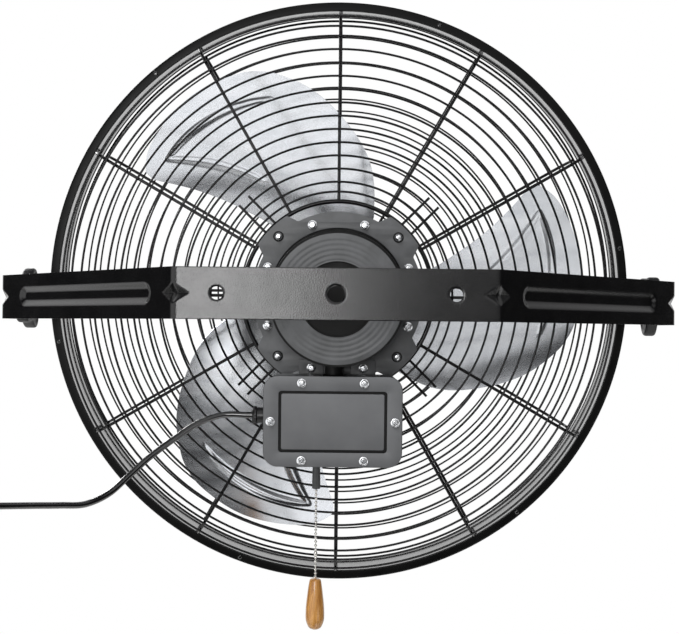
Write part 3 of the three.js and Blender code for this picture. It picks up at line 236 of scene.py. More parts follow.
# a tube along a line of points, with a frame that doesn't twist
def wireAlong(line, radius, sides):
    line = [Vector(p) for p in line]
    last = len(line) - 1
    side = None
    points = []
    for i, at in enumerate(line):
        ahead = (line[min(i + 1, last)] - line[max(i - 1, 0)]).normalized()
        side = side or ahead.orthogonal().normalized()
        side = (side - ahead * side.dot(ahead)).normalized()
        other = ahead.cross(side)
        for k in range(sides):
            a = 2 * math.pi * k / sides
            points.append(at + (side * math.cos(a) + other * math.sin(a)) * radius)
    ends = [list(range(sides))[::-1], list(range(last * sides, len(line) * sides))]
    return points, bands(len(line), sides, False) + ends


# the same curve as the CAD's cord: centripetal, through every point
def throughPoints(points, steps):
    points = [Vector(p) for p in points]
    line = [points[0] * 2 - points[1], *points, points[-1] * 2 - points[-2]]
    out = []
    for i in range(1, len(line) - 2):
        near = line[i - 1:i + 3]
        gaps = [max((near[k + 1] - near[k]).length, 1e-6) ** 0.5 for k in range(3)]
        leave = ((near[1] - near[0]) / gaps[0] - (near[2] - near[0]) / (gaps[0] + gaps[1])
                 + (near[2] - near[1]) / gaps[1]) * gaps[1]
        reach = ((near[2] - near[1]) / gaps[1] - (near[3] - near[1]) / (gaps[1] + gaps[2])
                 + (near[3] - near[2]) / gaps[2]) * gaps[1]
        for k in range(steps):
            t = k / steps
            out.append(near[1] * (2 * t ** 3 - 3 * t * t + 1) + leave * (t ** 3 - 2 * t * t + t)
                       + near[2] * (3 * t * t - 2 * t ** 3) + reach * (t ** 3 - t * t))
    return out + [points[-1]]


# a flat sheet from outlines in the plane square to the fan's axis; the first is the outside
def sheetBetween(name, outlines, low, high, material, edge=0.4, place=headPlace, sharp=32):
    curve = bpy.data.curves.new(name, "CURVE")
    curve.dimensions = "2D"
    curve.fill_mode = "BOTH"
    curve.extrude = (high - low) / 2 * mm - edge * mm
    curve.bevel_depth = edge * mm
    curve.bevel_resolution = 2
    curve.offset = -edge * mm
    for outline in outlines:
        spline = curve.splines.new("POLY")
        spline.points.add(len(outline) - 1)
        for point, (x, z) in zip(spline.points, outline):
            point.co = (x * mm, z * mm, 0, 1)
        spline.use_cyclic_u = True
    drawn = addObject(name, curve)
    mesh = bpy.data.meshes.new_from_object(drawn.evaluated_get(bpy.context.evaluated_depsgraph_get()))
    bpy.data.objects.remove(drawn)
    mesh.transform(Matrix.Rotation(math.pi / 2, 4, "X"))
    mesh.transform(Matrix.Translation((0, (low + high) / 2 * mm, 0)))
    if place:
        mesh.transform(place)
    faceOutwards(mesh)
    mesh.materials.clear()
    mesh.materials.append(material)
    piece = addObject(name, mesh)
    return shade(piece, sharp)


def circle(x, z, radius, steps=32):
    return [(x + radius * math.cos(2 * math.pi * k / steps), z + radius * math.sin(2 * math.pi * k / steps))
            for k in range(steps)]


def roundedBox(width, height, radius, x=0, z=0, steps=8):
    line = []
    for quarter, (sx, sz) in enumerate(((1, 1), (-1, 1), (-1, -1), (1, -1))):
        for k in range(steps + 1):
            a = math.pi / 2 * (quarter + k / steps)
            line.append((x + sx * (width / 2 - radius) + radius * math.cos(a),
                         z + sz * (height / 2 - radius) + radius * math.sin(a)))
    return line


def onCircle(radius, angle):
    return radius * math.cos(math.radians(angle)), radius * math.sin(math.radians(angle))


# hides the CAD nodes a piece stands for and hangs the piece on its body
def standIn(piece, slot, body, *nodes):
    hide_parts(*nodes)
    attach(piece, body)
    return piece


# ---- node helpers ----
def addNode(tree, kind, settings=None, inputs=None):
    node = tree.nodes.new(kind)
    for key, value in (settings or {}).items():
        setattr(node, key, value)
    for key, value in (inputs or {}).items():
        if isinstance(value, bpy.types.NodeSocket):
            tree.links.new(value, node.inputs[key])
        else:
            node.inputs[key].default_value = value
    return node


# the first output of a new node
def nodeOut(tree, kind, settings=None, inputs=None):
    return addNode(tree, kind, settings, inputs).outputs[0]


def maths(tree, operation, *values):
    return nodeOut(tree, "ShaderNodeMath", {"operation": operation}, dict(enumerate(values)))


# an sRGB hex colour as the linear colour that the nodes use
def hexColour(text):
    parts = [int(text[i:i + 2], 16) / 255 for i in (1, 3, 5)]
    return (*[p / 12.92 if p <= 0.04045 else ((p + 0.055) / 1.055) ** 2.4 for p in parts], 1)


# One surface: its colour and gloss wander between two values over patches, and a grain lies on it as a bump.
def makeMaterial(name, look):
    material = bpy.data.materials.new(name)
    material.use_nodes = True
    tree = material.node_tree
    tree.nodes.clear()
    where = addNode(tree, "ShaderNodeTexCoord").outputs["Object"]
    drawn = nodeOut(tree, "ShaderNodeMapping",
                    inputs={"Vector": where, "Scale": look.get("stretch", (1, 1, 1)),
                            "Rotation": look.get("turn", (0, 0, 0))})
    patches = addNode(tree, "ShaderNodeTexNoise", inputs={"Vector": drawn, "Scale": 1000 / look["patch"],
                                                          "Detail": 4.0, "Roughness": 0.55}).outputs["Fac"]
    spread = nodeOut(tree, "ShaderNodeMapRange", inputs={"Value": patches, "From Min": 0.3, "From Max": 0.7})
    colour = addNode(tree, "ShaderNodeMix", {"data_type": "RGBA"},
                     {"Factor": spread, 6: hexColour(look["colours"][0]),
                      7: hexColour(look["colours"][1])}).outputs[2]
    low, high = look["roughness"]
    gloss = nodeOut(tree, "ShaderNodeMapRange", inputs={"Value": patches, "From Min": 0.3, "From Max": 0.7,
                                                        "To Min": low, "To Max": high})
    grain = addNode(tree, "ShaderNodeTexNoise", inputs={"Vector": drawn, "Scale": 1000 / look["grain"],
                                                        "Detail": 2.0, "Roughness": 0.5}).outputs["Fac"]
    bump = nodeOut(tree, "ShaderNodeBump", inputs={"Height": grain, "Strength": look.get("bump", 0.5),
                                                   "Distance": look["depth"] * mm})
    shader = addNode(tree, "ShaderNodeBsdfPrincipled", inputs={
        "Base Color": colour, "Roughness": gloss, "Normal": bump, "Metallic": look.get("metallic", 0.0)})
    for socket, value in look.get("shader", {}).items():
        shader.inputs[socket].default_value = value
    addNode(tree, "ShaderNodeOutputMaterial", inputs={"Surface": shader.outputs[0]})
    return material


# textured powder coat on bent steel strip: pebbled, half gloss, sparkles where a lamp's reflection ends
yokeCoat = makeMaterial("pebbledPowderCoat", {
    "colours": ("#070708", "#0b0b0c"), "patch": 24, "roughness": (0.17, 0.22), "grain": 1.5, "depth": 0.22,
    "bump": 0.6, "shader": {"IOR": 1.5, "Specular IOR Level": 0.5}})
# smooth stoved gloss enamel on the rolled rim: deep black with clear reflections
rimEnamel = makeMaterial("stovedGlossEnamel", {
    "colours": ("#060607", "#0a0a0b"), "patch": 40, "roughness": (0.14, 0.22), "grain": 5, "depth": 0.02,
    "bump": 0.3, "shader": {"IOR": 1.5, "Specular IOR Level": 0.5, "Coat Weight": 1.0,
                            "Coat Roughness": 0.1}})
# the rim's lip towards the wall: a darker, duller copy of the enamel as painted shade, so it stays black
lipShadeEnamel = makeMaterial("paintedShadeLipEnamel", {
    "colours": ("#030303", "#060606"), "patch": 30, "roughness": (0.34, 0.42), "grain": 5, "depth": 0.01,
    "bump": 0.1, "shader": {"IOR": 1.5, "Specular IOR Level": 0.15}})
# dip coated steel wire: soft black with a thin highlight and slight sags in the coat
wireCoat = makeMaterial("dipCoatedWire", {
    "colours": ("#050506", "#0a0a0b"), "patch": 9, "roughness": (0.16, 0.26), "grain": 2.5, "depth": 0.03,
    "bump": 0.3, "shader": {"IOR": 1.5, "Specular IOR Level": 0.3}})
# satin paint on pressed motor steel: dark grey, a little cloudy
motorPaint = makeMaterial("satinMotorPaint", {
    "colours": ("#434445", "#565759"), "patch": 22, "roughness": (0.4, 0.52), "grain": 1.2, "depth": 0.06,
    "bump": 0.4, "shader": {"IOR": 1.5, "Specular IOR Level": 0.5}})
# satin paint on the drawn box: mid grey, even
boxPaint = makeMaterial("satinBoxPaint", {
    "colours": ("#58595b", "#626365"), "patch": 34, "roughness": (0.42, 0.52), "grain": 0.9, "depth": 0.04,
    "bump": 0.4, "shader": {"IOR": 1.5, "Specular IOR Level": 0.5}})
# flat black paint on the neck; the same black is painted shade in the motor's opening, round the can, behind
# the lobe bolts and in the cover's groove and side
blackPaintAndShade = makeMaterial("flatBlackPaintAndPaintedShade", {
    "colours": ("#070707", "#0d0d0d"), "patch": 12, "roughness": (0.5, 0.65), "grain": 0.8, "depth": 0.05,
    "bump": 0.4, "shader": {"IOR": 1.48, "Specular IOR Level": 0.3}})
# bright zinc plate on screws and bolts: cool, slightly cloudy
zincPlate = makeMaterial("brightZincPlate", {
    "colours": ("#dfe1e4", "#f2f3f5"), "patch": 3, "roughness": (0.2, 0.3), "grain": 0.6, "depth": 0.01,
    "bump": 0.3, "metallic": 1.0})
# turned bare steel: faint rings of the tool
groundSteel = makeMaterial("groundSteel", {
    "colours": ("#8f9296", "#a9acb0"), "patch": 6, "stretch": (1, 8, 1), "roughness": (0.26, 0.4),
    "grain": 0.7, "depth": 0.02, "bump": 0.3, "metallic": 1.0})
# rolled aluminium sheet: satin, with long faint rolling streaks
rolledAluminium = makeMaterial("rolledAluminium", {
    "colours": ("#d3d6db", "#e4e6ea"), "patch": 60, "stretch": (1, 1, 4), "turn": (0, 0.5, 0),
    "roughness": (0.2, 0.27), "grain": 1.2, "depth": 0.002, "bump": 0.3, "metallic": 1.0})
# enamelled copper wire, wound: warm brown with a fine ribbing across the axis
copperWinding = makeMaterial("enamelledCopperWinding", {
    "colours": ("#6d3d1c", "#9a5a2b"), "patch": 4, "stretch": (6, 0.6, 6), "roughness": (0.24, 0.4),
    "grain": 1.2, "depth": 0.25, "bump": 0.8, "metallic": 1.0})
# moulded glass filled nylon of the star knobs: matt black with a spark eroded grain
mouldedNylon = makeMaterial("mouldedNylon", {
    "colours": ("#0f0f10", "#17171a"), "patch": 14, "roughness": (0.38, 0.52), "grain": 0.7, "depth": 0.05,
    "bump": 0.5, "shader": {"IOR": 1.53, "Specular IOR Level": 0.4}})
# soft grey sleeve moulded in polythene: dull, slightly waxy
sleevePlastic = makeMaterial("mouldedPolythene", {
    "colours": ("#424344", "#505152"), "patch": 5, "roughness": (0.42, 0.55), "grain": 0.9, "depth": 0.03,
    "bump": 0.4, "shader": {"IOR": 1.51, "Specular IOR Level": 0.4}})
# extruded glossy pvc of the cord: black with a hard highlight along it
cordJacket = makeMaterial("extrudedPvcJacket", {
    "colours": ("#09090a", "#0f0f10"), "patch": 16, "roughness": (0.12, 0.18), "grain": 3, "depth": 0.01,
    "bump": 0.3, "shader": {"IOR": 1.52, "Specular IOR Level": 0.6, "Coat Weight": 1.0,
                            "Coat Roughness": 0.08}})
# moulded pvc of plug and gland
mouldedPvc = makeMaterial("mouldedPvc", {
    "colours": ("#060607", "#0b0b0c"), "patch": 9, "roughness": (0.3, 0.42), "grain": 0.6, "depth": 0.04,
    "bump": 0.4, "shader": {"IOR": 1.52, "Specular IOR Level": 0.5}})
# punched cellular rubber of the gasket
gasketRubber = makeMaterial("cellularRubber", {
    "colours": ("#101010", "#1c1c1c"), "patch": 3, "roughness": (0.75, 0.9), "grain": 0.5, "depth": 0.15,
    "bump": 0.6, "shader": {"IOR": 1.48, "Specular IOR Level": 0.3}})
# woven hook and loop strap of the tie
wovenStrap = makeMaterial("wovenHookAndLoop", {
    "colours": ("#0e0e0f", "#1c1c1e"), "patch": 2, "roughness": (0.8, 0.95), "grain": 0.45, "depth": 0.3,
    "bump": 0.9, "shader": {"Sheen Weight": 0.3, "Sheen Roughness": 0.5}})
# nickel plated brass of the bead chain
nickelPlate = makeMaterial("nickelPlatedBrass", {
    "colours": ("#d6d4cf", "#f0eeea"), "patch": 2, "roughness": (0.1, 0.2), "grain": 0.6, "depth": 0.01,
    "bump": 0.3, "metallic": 1.0})


# turned beech with a honey lacquer: the grain runs along the pull, with darker flecks
def lacqueredBeech():
    look = {"pale": "#c8924c", "dark": "#9a6427", "fleck": "#7d4d1c", "ring": 3.2, "flecks": 1.1}
    material = bpy.data.materials.new("lacqueredBeech")
    material.use_nodes = True
    tree = material.node_tree
    tree.nodes.clear()
    where = addNode(tree, "ShaderNodeTexCoord").outputs["Object"]
    along = nodeOut(tree, "ShaderNodeMapping", inputs={"Vector": where, "Scale": (1, 0.7, 0.09)})
    wander = addNode(tree, "ShaderNodeTexNoise",
                     inputs={"Vector": along, "Scale": 1000 / look["ring"], "Detail": 5.0,
                             "Distortion": 0.8}).outputs["Fac"]
    rings = nodeOut(tree, "ShaderNodeMapRange", inputs={"Value": wander, "From Min": 0.35, "From Max": 0.66})
    wood = addNode(tree, "ShaderNodeMix", {"data_type": "RGBA"},
                   {"Factor": rings, 6: hexColour(look["dark"]), 7: hexColour(look["pale"])}).outputs[2]
    flecks = addNode(tree, "ShaderNodeTexNoise",
                     inputs={"Vector": along, "Scale": 1000 / look["flecks"]}).outputs["Fac"]
    few = nodeOut(tree, "ShaderNodeMapRange", inputs={"Value": flecks, "From Min": 0.6, "From Max": 0.74,
                                                      "To Max": 0.55})
    fleckedWood = addNode(tree, "ShaderNodeMix", {"data_type": "RGBA"},
                          {"Factor": few, 6: wood, 7: hexColour(look["fleck"])}).outputs[2]
    bump = nodeOut(tree, "ShaderNodeBump", inputs={"Height": wander, "Strength": 0.25, "Distance": 0.1 * mm})
    shader = addNode(tree, "ShaderNodeBsdfPrincipled", inputs={
        "Base Color": fleckedWood, "Roughness": 0.34, "Normal": bump, "Coat Weight": 0.6,
        "Coat Roughness": 0.1, "IOR": 1.5})
    addNode(tree, "ShaderNodeOutputMaterial", inputs={"Surface": shader.outputs[0]})
    return material


woodLacquer = lacqueredBeech()
print("materials made")


# ---- mains cord: one length from the gland, through a coil, to the plug ----
cord = {
    "diameter": 7, "start": (-93.9, -125.692, -131.5), "tail": 22,
    "coilAt": (-396, -249), "inner": 30, "outer": 41.4, "pitch": 7.6, "turns": 6.25, "layerTurns": 1.5,
    "back": 5.5,
    "route": [(-125, 187, -130), (-153, 181, -139), (-177, 171, -155), (-202, 158, -174), (-222, 143, -193),
              (-240, 125, -210), (-260, 104, -218), (-280, 82, -216), (-300, 60, -213), (-322, 37, -210),
              (-346, 17, -207.5)],
}


# the cord is wound in and out again, and steps out from the wall by one layer at each reversal
def coilSpot(turns):
    layer = min(int(turns / cord["layerTurns"]), 3)
    along = turns - layer * cord["layerTurns"]
    radius = cord["inner"] + along * cord["pitch"] if layer % 2 else cord["outer"] - along * cord["pitch"]
    level = sum(min(max((turns - k * cord["layerTurns"]) / 0.5 + 0.5, 0), 1) for k in (1, 2, 3))
    angle = math.pi / 2 + turns * 2 * math.pi
    x, z = cord["coilAt"]
    return (x + radius * math.cos(angle), cord["back"] + level * cord["pitch"], z + radius * math.sin(angle))


def cordLine():
    start = headPlace @ (Vector(cord["start"]) * mm) / mm
    coilStart, coilEnd = Vector(coilSpot(0)), Vector(coilSpot(cord["turns"]))
    free = [start, start - Vector((cord["diameter"], 0, 0)), *[Vector(p) for p in cord["route"]],
            coilStart + Vector((2 * cord["diameter"] + 0.3, 0, 0)),
            coilStart + Vector((cord["diameter"] + 0.3, 0, 0))]
    line = throughPoints(free, 9)
    steps = round(cord["turns"] * 36)
    line += [Vector(coilSpot(i / steps * cord["turns"])) for i in range(steps + 1)]
    line += [coilEnd - Vector((0, 0, cord["tail"] * k / 4)) for k in range(1, 5)]
    return line, start, coilEnd - Vector((0, 0, cord["tail"]))


cordPath, cordStart, cordEnd = cordLine()
cordPoints, cordFaces = wireAlong(cordPath, cord["diameter"] / 2, sides=16)
mainsCord = makePiece("mainsCord", cordPoints, cordFaces, cordJacket, sharp=60)
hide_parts("mains_cord", "cord_coil")
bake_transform(mainsCord)

tie = {"turn": -40, "width": 16, "thick": 1.4, "low": 26.2, "high": 47.1, "tall": 30.4, "corner": 3}


# the strap round the turns: a band with soft corners, pulled slightly in between the layers
def makeTie():
    outline = roundedBox(tie["high"] - tie["low"], tie["tall"], tie["corner"], (tie["high"] + tie["low"]) / 2,
                         0, 6)
    outer = roundedBox(tie["high"] - tie["low"] + 2 * tie["thick"], tie["tall"] + 2 * tie["thick"],
                       tie["corner"] + tie["thick"], (tie["high"] + tie["low"]) / 2, 0, 6)
    points = []
    rows = [(-tie["width"] / 2, outer), (-tie["width"] / 2 + 0.5, outer), (tie["width"] / 2 - 0.5, outer),
            (tie["width"] / 2, outer), (tie["width"] / 2, outline), (-tie["width"] / 2, outline)]
    angle = math.radians(tie["turn"])
    x0, z0 = cord["coilAt"]
    level = cord["back"] + 1.5 * cord["pitch"]
    for across, line in rows:
        for r, y in line:
            x = r * math.cos(angle) - across * math.sin(angle)
            z = r * math.sin(angle) + across * math.cos(angle)
            points.append((x0 + x, level + y, z0 + z))
    return makePiece("cordTie", points, bands(len(rows), len(outline)), wovenStrap, sharp=50)


cordTie = makeTie()
standIn(cordTie, "rubber", "bracket", "cord_tie")

plug = {"nose": 24, "body": 28, "width": 25, "depth": 19, "pin": 16, "pinAside": 6.35, "ridges": 5}


# the plug hangs from the coil: a ribbed tapering nose, a waisted grip, two flat pins and a round one
def makePlug():
    rows = []
    wire = cord["diameter"] / 2 + 0.6
    for k in range(plug["ridges"] * 4 + 1):
        t = k / (plug["ridges"] * 4)
        size = wire + (plug["depth"] / 2 - 1.5 - wire) * t
        size -= 0.7 if k % 4 in (2, 3) else 0
        rows.append((-plug["nose"] * 0.92 * t, size, size))
    for t, w, d in ((0.0, 0.72, 0.9), (0.08, 0.8, 0.96), (0.3, 0.86, 0.98), (0.55, 0.84, 0.97),
                    (0.8, 0.95, 1), (0.96, 1, 1), (1.0, 0.94, 0.94)):
        rows.append((-plug["nose"] - plug["body"] * t, plug["width"] / 2 * w, plug["depth"] / 2 * d))
    points = [(0, 0, 0)]
    sides = 40
    for z, w, d in rows:
        for k in range(sides):
            a = 2 * math.pi * k / sides
            boxy = 1 / max(abs(math.cos(a)) ** 3 + abs(math.sin(a)) ** 3, 1e-6) ** (1 / 3)
            r = boxy if z < -plug["nose"] else 1
            points.append((w * r * math.cos(a), d * r * math.sin(a), z))
    faces = bands(len(rows), sides, False, 1)
    faces += [[0, 1 + (k + 1) % sides, 1 + k] for k in range(sides)]
    faces.append([1 + (len(rows) - 1) * sides + k for k in range(sides)])
    place = Matrix.Translation(cordEnd * mm)
    body = makePiece("plugBody", points, faces, mouldedPvc, sharp=40, place=place)
    pins = []
    face = -plug["nose"] - plug["body"]
    for x in (-plug["pinAside"], plug["pinAside"]):
        outline = [(x - 0.75, face + 1), (x + 0.75, face + 1), (x + 0.75, face - plug["pin"], 0.7),
                   (x - 0.75, face - plug["pin"], 0.7)]
        pins.append(sheetBetween("pin", [soften(outline, 0.2)], -6.2, 0.2, nickelPlate, 0.3, place))
    earthPin = soften([(0, face + 1), (2.4, face + 1), (2.4, face - plug["pin"] - 2, 1.6),
                     (0, face - plug["pin"] - 2)],
                    closed=False)
    pins.append(turned("pin", earthPin, nickelPlate, 20, False,
                       place=place @ Matrix.Translation((0, 5 * mm, 0))
                       @ Matrix.Rotation(math.pi / 2, 4, "X")))
    return merge("powerPlug", [body, *pins])


powerPlug = makePlug()
standIn(powerPlug, "rubber", "bracket", "power_plug")
print("cord, tie and plug done")


# ---- yoke ----
yoke = {
    "width": 50, "thick": 4, "backHalf": 156, "reach": 233, "pivotAhead": 71, "outerBend": 11,
    "holes": [(-114, 6.25, 0.5), (0, 7.75, 0.9), (114, 6.25, 0.5)], "earHole": 5.2, "rim": 2.2,
    "channel": {"from": 34, "length": 255.5, "half": 12.5, "slope": 9.5, "depth": 4.0},
    "dart": {"length": 16, "half": 10, "depth": 6.6},
    "fine": 1.0, "coarse": 4,
}


# the outer face of the strip seen from above, as (arc length from the middle, x, y, inward x, inward y)
def stripLine():
    out = yoke["backHalf"] + yoke["reach"]
    ear = yoke["reach"] + yoke["pivotAhead"] + yoke["width"] / 2
    corners = [(0, 0), (yoke["backHalf"], 0), (out, yoke["reach"]), (out, ear)]
    radius = yoke["outerBend"]
    reach = radius * math.tan(math.radians(22.5))
    line = [(0.0, 0.0, 0.0, 0.0, 1.0)]
    s, heading = 0.0, 0.0
    at = Vector((0, 0))
    for i in (1, 2):
        corner = Vector(corners[i])
        run = (corner - at).length - reach
        ahead = Vector((math.cos(heading), math.sin(heading)))
        at, s = at + ahead * run, s + run
        line.append((s, at.x, at.y, -math.sin(heading), math.cos(heading)))
        for k in range(1, 9):
            turn = math.radians(45) / 8
            mid = heading + turn / 2
            step = 2 * radius * math.sin(turn / 2)
            at = at + Vector((math.cos(mid), math.sin(mid))) * step
            heading += turn
            s += radius * turn
            line.append((s, at.x, at.y, -math.sin(heading), math.cos(heading)))
    run = ear - at.y
    line.append((s + run, at.x, ear, -math.sin(heading), math.cos(heading)))
    return line


def makeYoke():
    line = stripLine()
    bend = [yoke["backHalf"], yoke["backHalf"] + yoke["reach"] * math.sqrt(2) - 0.5]
    total = line[-1][0]
    pivot = total - yoke["width"] / 2
    channel, dart = yoke["channel"], yoke["dart"]
    channelEnds = [bend[0] + channel["from"], bend[0] + channel["from"] + channel["length"]]
    fineSpots = [(h[0], 12) for h in yoke["holes"]] + [(pivot, 9), (total, 14)]
    fineSpots += [(b, 19) for b in bend] + [(c, 14) for c in channelEnds]

    rows, s = [0.0], 0.0
    while s < total - 0.3:
        near = any(abs(s - abs(at)) < reach for at, reach in fineSpots)
        edge = total - s
        step = yoke["fine"] if near else yoke["coarse"]
        s += min(step, max(edge * 0.35, 0.35)) if edge < 10 else step
        rows.append(min(s, total))
    rows = [-r for r in rows[:0:-1]] + rows
    across = int(yoke["width"] / yoke["fine"])

    def spot(s):
        size = abs(s)
        for a, b in zip(line, line[1:]):
            if size <= b[0] + 1e-6:
                t = (size - a[0]) / max(b[0] - a[0], 1e-9)
                x, y, nx, ny = (a[i] + (b[i] - a[i]) * t for i in (1, 2, 3, 4))
                side = 1 if s >= 0 else -1
                return Vector((side * x, y)), Vector((side * nx, ny)).normalized()
        return spot(math.copysign(line[-1][0], s))

    def pressed(s, z):
        depth = 0.0
        size = abs(s)
        half = (channel["length"] / 2) - channel["half"]
        middle = sum(channelEnds) / 2
        inside = channel["half"] - math.hypot(max(abs(size - middle) - half, 0), z)
        if inside > 0:
            t = min(inside / channel["slope"], 1)
            depth += channel["depth"] * t * t * (3 - 2 * t)
        for at in bend:
            depth += dart["depth"] * max(0, 1 - abs(size - at) / dart["length"] - abs(z) / dart["half"])
        return depth

    points, index = [], {}
    holes = [*yoke["holes"], (-pivot, yoke["earHole"], 0), (pivot, yoke["earHole"], 0)]
    for i, s in enumerate(rows):
        half = yoke["width"] / 2
        over = abs(s) - pivot
        if over > 0:
            half = math.sqrt(max(half * half - over * over, 0.04))
        for k in range(across + 1):
            z = (2 * k / across - 1) * half
            place, keep, lip = s, True, 0.0
            for at, radius, roll in holes:
                reach = math.hypot(s - at, z)
                if reach < radius - 0.6 * yoke["fine"]:
                    keep = False
                elif reach < radius + 0.6 * yoke["fine"]:
                    place, z = at + (s - at) * radius / reach, z * radius / reach
                    lip = roll
                elif reach < radius + yoke["rim"]:
                    lip = roll * (1 - (reach - radius) / yoke["rim"]) ** 2
            if not keep:
                continue
            at, inward = spot(place)
            depth = pressed(place, z) + lip
            index[(i, k)] = len(points)
            points.append((at.x + inward.x * depth, at.y + inward.y * depth, z))
    faces = []
    for i in range(len(rows) - 1):
        for k in range(across):
            face = [index.get(c) for c in ((i, k), (i, k + 1), (i + 1, k + 1), (i + 1, k))]
            if None not in face:
                faces.append(face)
    piece = makePiece("yokeStrip", points, faces, yokeCoat, outwards=False)
    if piece.data.polygons[len(piece.data.polygons) // 2].normal.y > 0:
        piece.data.flip_normals()
    return bevelled(thickened(piece, yoke["thick"], -1, even=True), 0.55, 2, 60, sharp=28)


yokeStrip = makeYoke()
standIn(yokeStrip, "yoke_paint", "bracket", "yoke")
print("yoke done")


# ---- pivots ----
pivots = {
    "knobFrom": 370.7, "knobThick": 14, "knobWidth": 76, "hollow": 9, "lobes": 5, "bore": 5.25, "hub": 13,
    "boltRadius": 4.9, "headFrom": 389.3, "headRadius": 11, "headTall": 4.5, "nutTop": 367.1, "nutTall": 8,
    "nutFlat": 17, "boltEnd": 353.1,
    "rimAt": 340.3, "crownAt": 370.4, "sheet": 3, "standTall": 50, "crown": 30, "sole": 8, "standWide": 34,
}


# puts a piece made about its own Y axis onto the pivot line on one side
def pivotPlace(side):
    return Matrix(((0, side, 0, 0), (side, 0, 0, tilting["pivotY"] * mm), (0, 0, 1, 0), (0, 0, 0, 1)))


def makeKnob(name, side):
    top = pivots["knobThick"]
    rows = [("hole", 0, 1.0), ("hole", 0.8, 0.2), ("round", pivots["hub"] - 1, 0),
            ("round", pivots["hub"], 0.5),
            ("round", pivots["hub"] + 1.5, 1.8), ("lobed", 7.5, 1.8), ("lobed", 5.8, 1.2),
            ("lobed", 4.2, 0.2),
            ("lobed", 2.9, 0), ("lobed", 1.4, 0.5), ("lobed", 0.4, 1.6), ("lobed", 0, 3.2)]
    rows += [(kind, size, top - y) for kind, size, y in rows[::-1]]
    sides = 160
    points = []
    phase = math.radians(102) if side < 0 else math.radians(-90)
    for kind, size, y in rows:
        for k in range(sides):
            a = 2 * math.pi * k / sides
            full = pivots["knobWidth"] / 2 - pivots["hollow"] / 2 * (1 - math.cos(pivots["lobes"] * a))
            r = {"hole": pivots["bore"] + size, "round": size, "lobed": full - size}[kind]
            points.append((r * math.cos(a + phase), pivots["knobFrom"] + y, r * math.sin(a + phase)))
    return makePiece(name, points, bands(len(rows), sides), mouldedNylon, 36, pivotPlace(side))


def makePivotBolt(name, side):
    head, tall = pivots["headRadius"], pivots["headTall"]
    profile = soften([(0, pivots["headFrom"] + tall), (head * 0.55, pivots["headFrom"] + tall, 2.5),
                      (head - 1.2, pivots["headFrom"] + tall * 0.55, 1.4),
                      (head, pivots["headFrom"] + 0.8, 0.4),
                      (head, pivots["headFrom"], 0.2), (pivots["boltRadius"], pivots["headFrom"], 0.2)],
                     closed=False)
    y, pitch = pivots["nutTop"], 1.5
    profile.append((pivots["boltRadius"], y))
    while y > pivots["boltEnd"] + 1.5:  # the thread shows beyond the nut
        profile += [(pivots["boltRadius"], y - 0.1), (pivots["boltRadius"] - 0.7, y - pitch / 2)]
        y -= pitch
    profile += [(pivots["boltRadius"], y), (pivots["boltRadius"] - 1.1, pivots["boltEnd"]),
                (0, pivots["boltEnd"])]
    return turned(name, profile, zincPlate, 40, False, 28, pivotPlace(side))


def hexNut(name, flat, low, high, bore, material, place):
    sides = 48
    rows = []
    for y, cut in ((low, 1.1), (low + 0.9, 0), (high - 0.9, 0), (high, 1.1)):
        row = []
        for k in range(sides):
            a = 2 * math.pi * k / sides
            r = flat / 2 / math.cos((a % (math.pi / 3)) - math.pi / 6)
            row.append((min(r, flat / 2 * 1.155 - cut), y, a))
        rows.append(row)
    for r, y in ((bore + 0.5, high), (bore, high - 0.6), (bore, low + 0.6), (bore + 0.5, low)):
        rows.append([(r, y, 2 * math.pi * k / sides) for k in range(sides)])
    points = [(r * math.cos(a), y, r * math.sin(a)) for row in rows for r, y, a in row]
    return makePiece(name, points, bands(len(rows), sides), material, 24, place)


# the hat shaped bracket: soles on the rim's round, flanks, and a crown against the knob
def makeStandOff(name, side):
    half, t = pivots["sheet"] / 2, pivots["sheet"]
    rise = tilting["axisRise"]

    def onRim(z):
        return math.sqrt((pivots["rimAt"] + half) ** 2 - (z - rise) ** 2)
    tall, sole, crown = pivots["standTall"] / 2, pivots["sole"], pivots["crown"] / 2
    top = pivots["crownAt"] - half
    line = [(onRim(z), z, 0) for z in (tall, tall - sole / 2)] + [(onRim(tall - sole), tall - sole, 4)]
    line += [(top, crown, 4), (top, -crown, 4), (onRim(sole - tall), sole - tall, 4)]
    line += [(onRim(z), z, 0) for z in (sole / 2 - tall, -tall)]
    path = [Vector(p) for p in soften(line, steps=5, closed=False)]
    points, faces = [], []
    for i, at in enumerate(path):
        ahead = (path[min(i + 1, len(path) - 1)] - path[max(i - 1, 0)]).normalized()
        normal = Vector((ahead.y, -ahead.x))
        wide = pivots["standWide"] / 2 - (1.5 if i in (0, len(path) - 1) else 0)
        for reach, y in ((half, -wide), (half, wide), (-half, wide), (-half, -wide)):
            spot = at + normal * reach
            points.append((side * spot.x, y, spot.y))
    for i in range(len(path) - 1):
        for k in range(4):
            j = (k + 1) % 4
            faces.append([4 * i + k, 4 * i + j, 4 * i + 4 + j, 4 * i + 4 + k])
    faces += [[0, 1, 2, 3], [len(points) - 4 + k for k in range(4)]]
    place = headPlace @ Matrix.Translation((0, 0, -rise * mm))
    piece = makePiece(name, points, faces, yokeCoat, 30, place)
    return bevelled(piece, 0.5, 2, 50)


for side, word in ((-1, "left"), (1, "right")):
    starKnob = makeKnob(f"starKnob.{word}", side)
    standIn(starKnob, "knob_plastic", f"knob_{word}", f"star_knob_{word}")
    pivotBolt = makePivotBolt(f"pivotBolt.{word}", side)
    standIn(pivotBolt, "zinc", "head", f"pivot_bolt_{word}")
    lockNut = hexNut(f"lockNut.{word}", pivots["nutFlat"], pivots["nutTop"] - pivots["nutTall"],
                     pivots["nutTop"], pivots["boltRadius"] + 0.25, zincPlate, pivotPlace(side))
    standIn(lockNut, "zinc", "head", f"pivot_nut_{word}")
    standOff = makeStandOff(f"standOff.{word}", side)
    standIn(standOff, "yoke_paint", "head", f"stand_off_{word}")
print("pivots done")


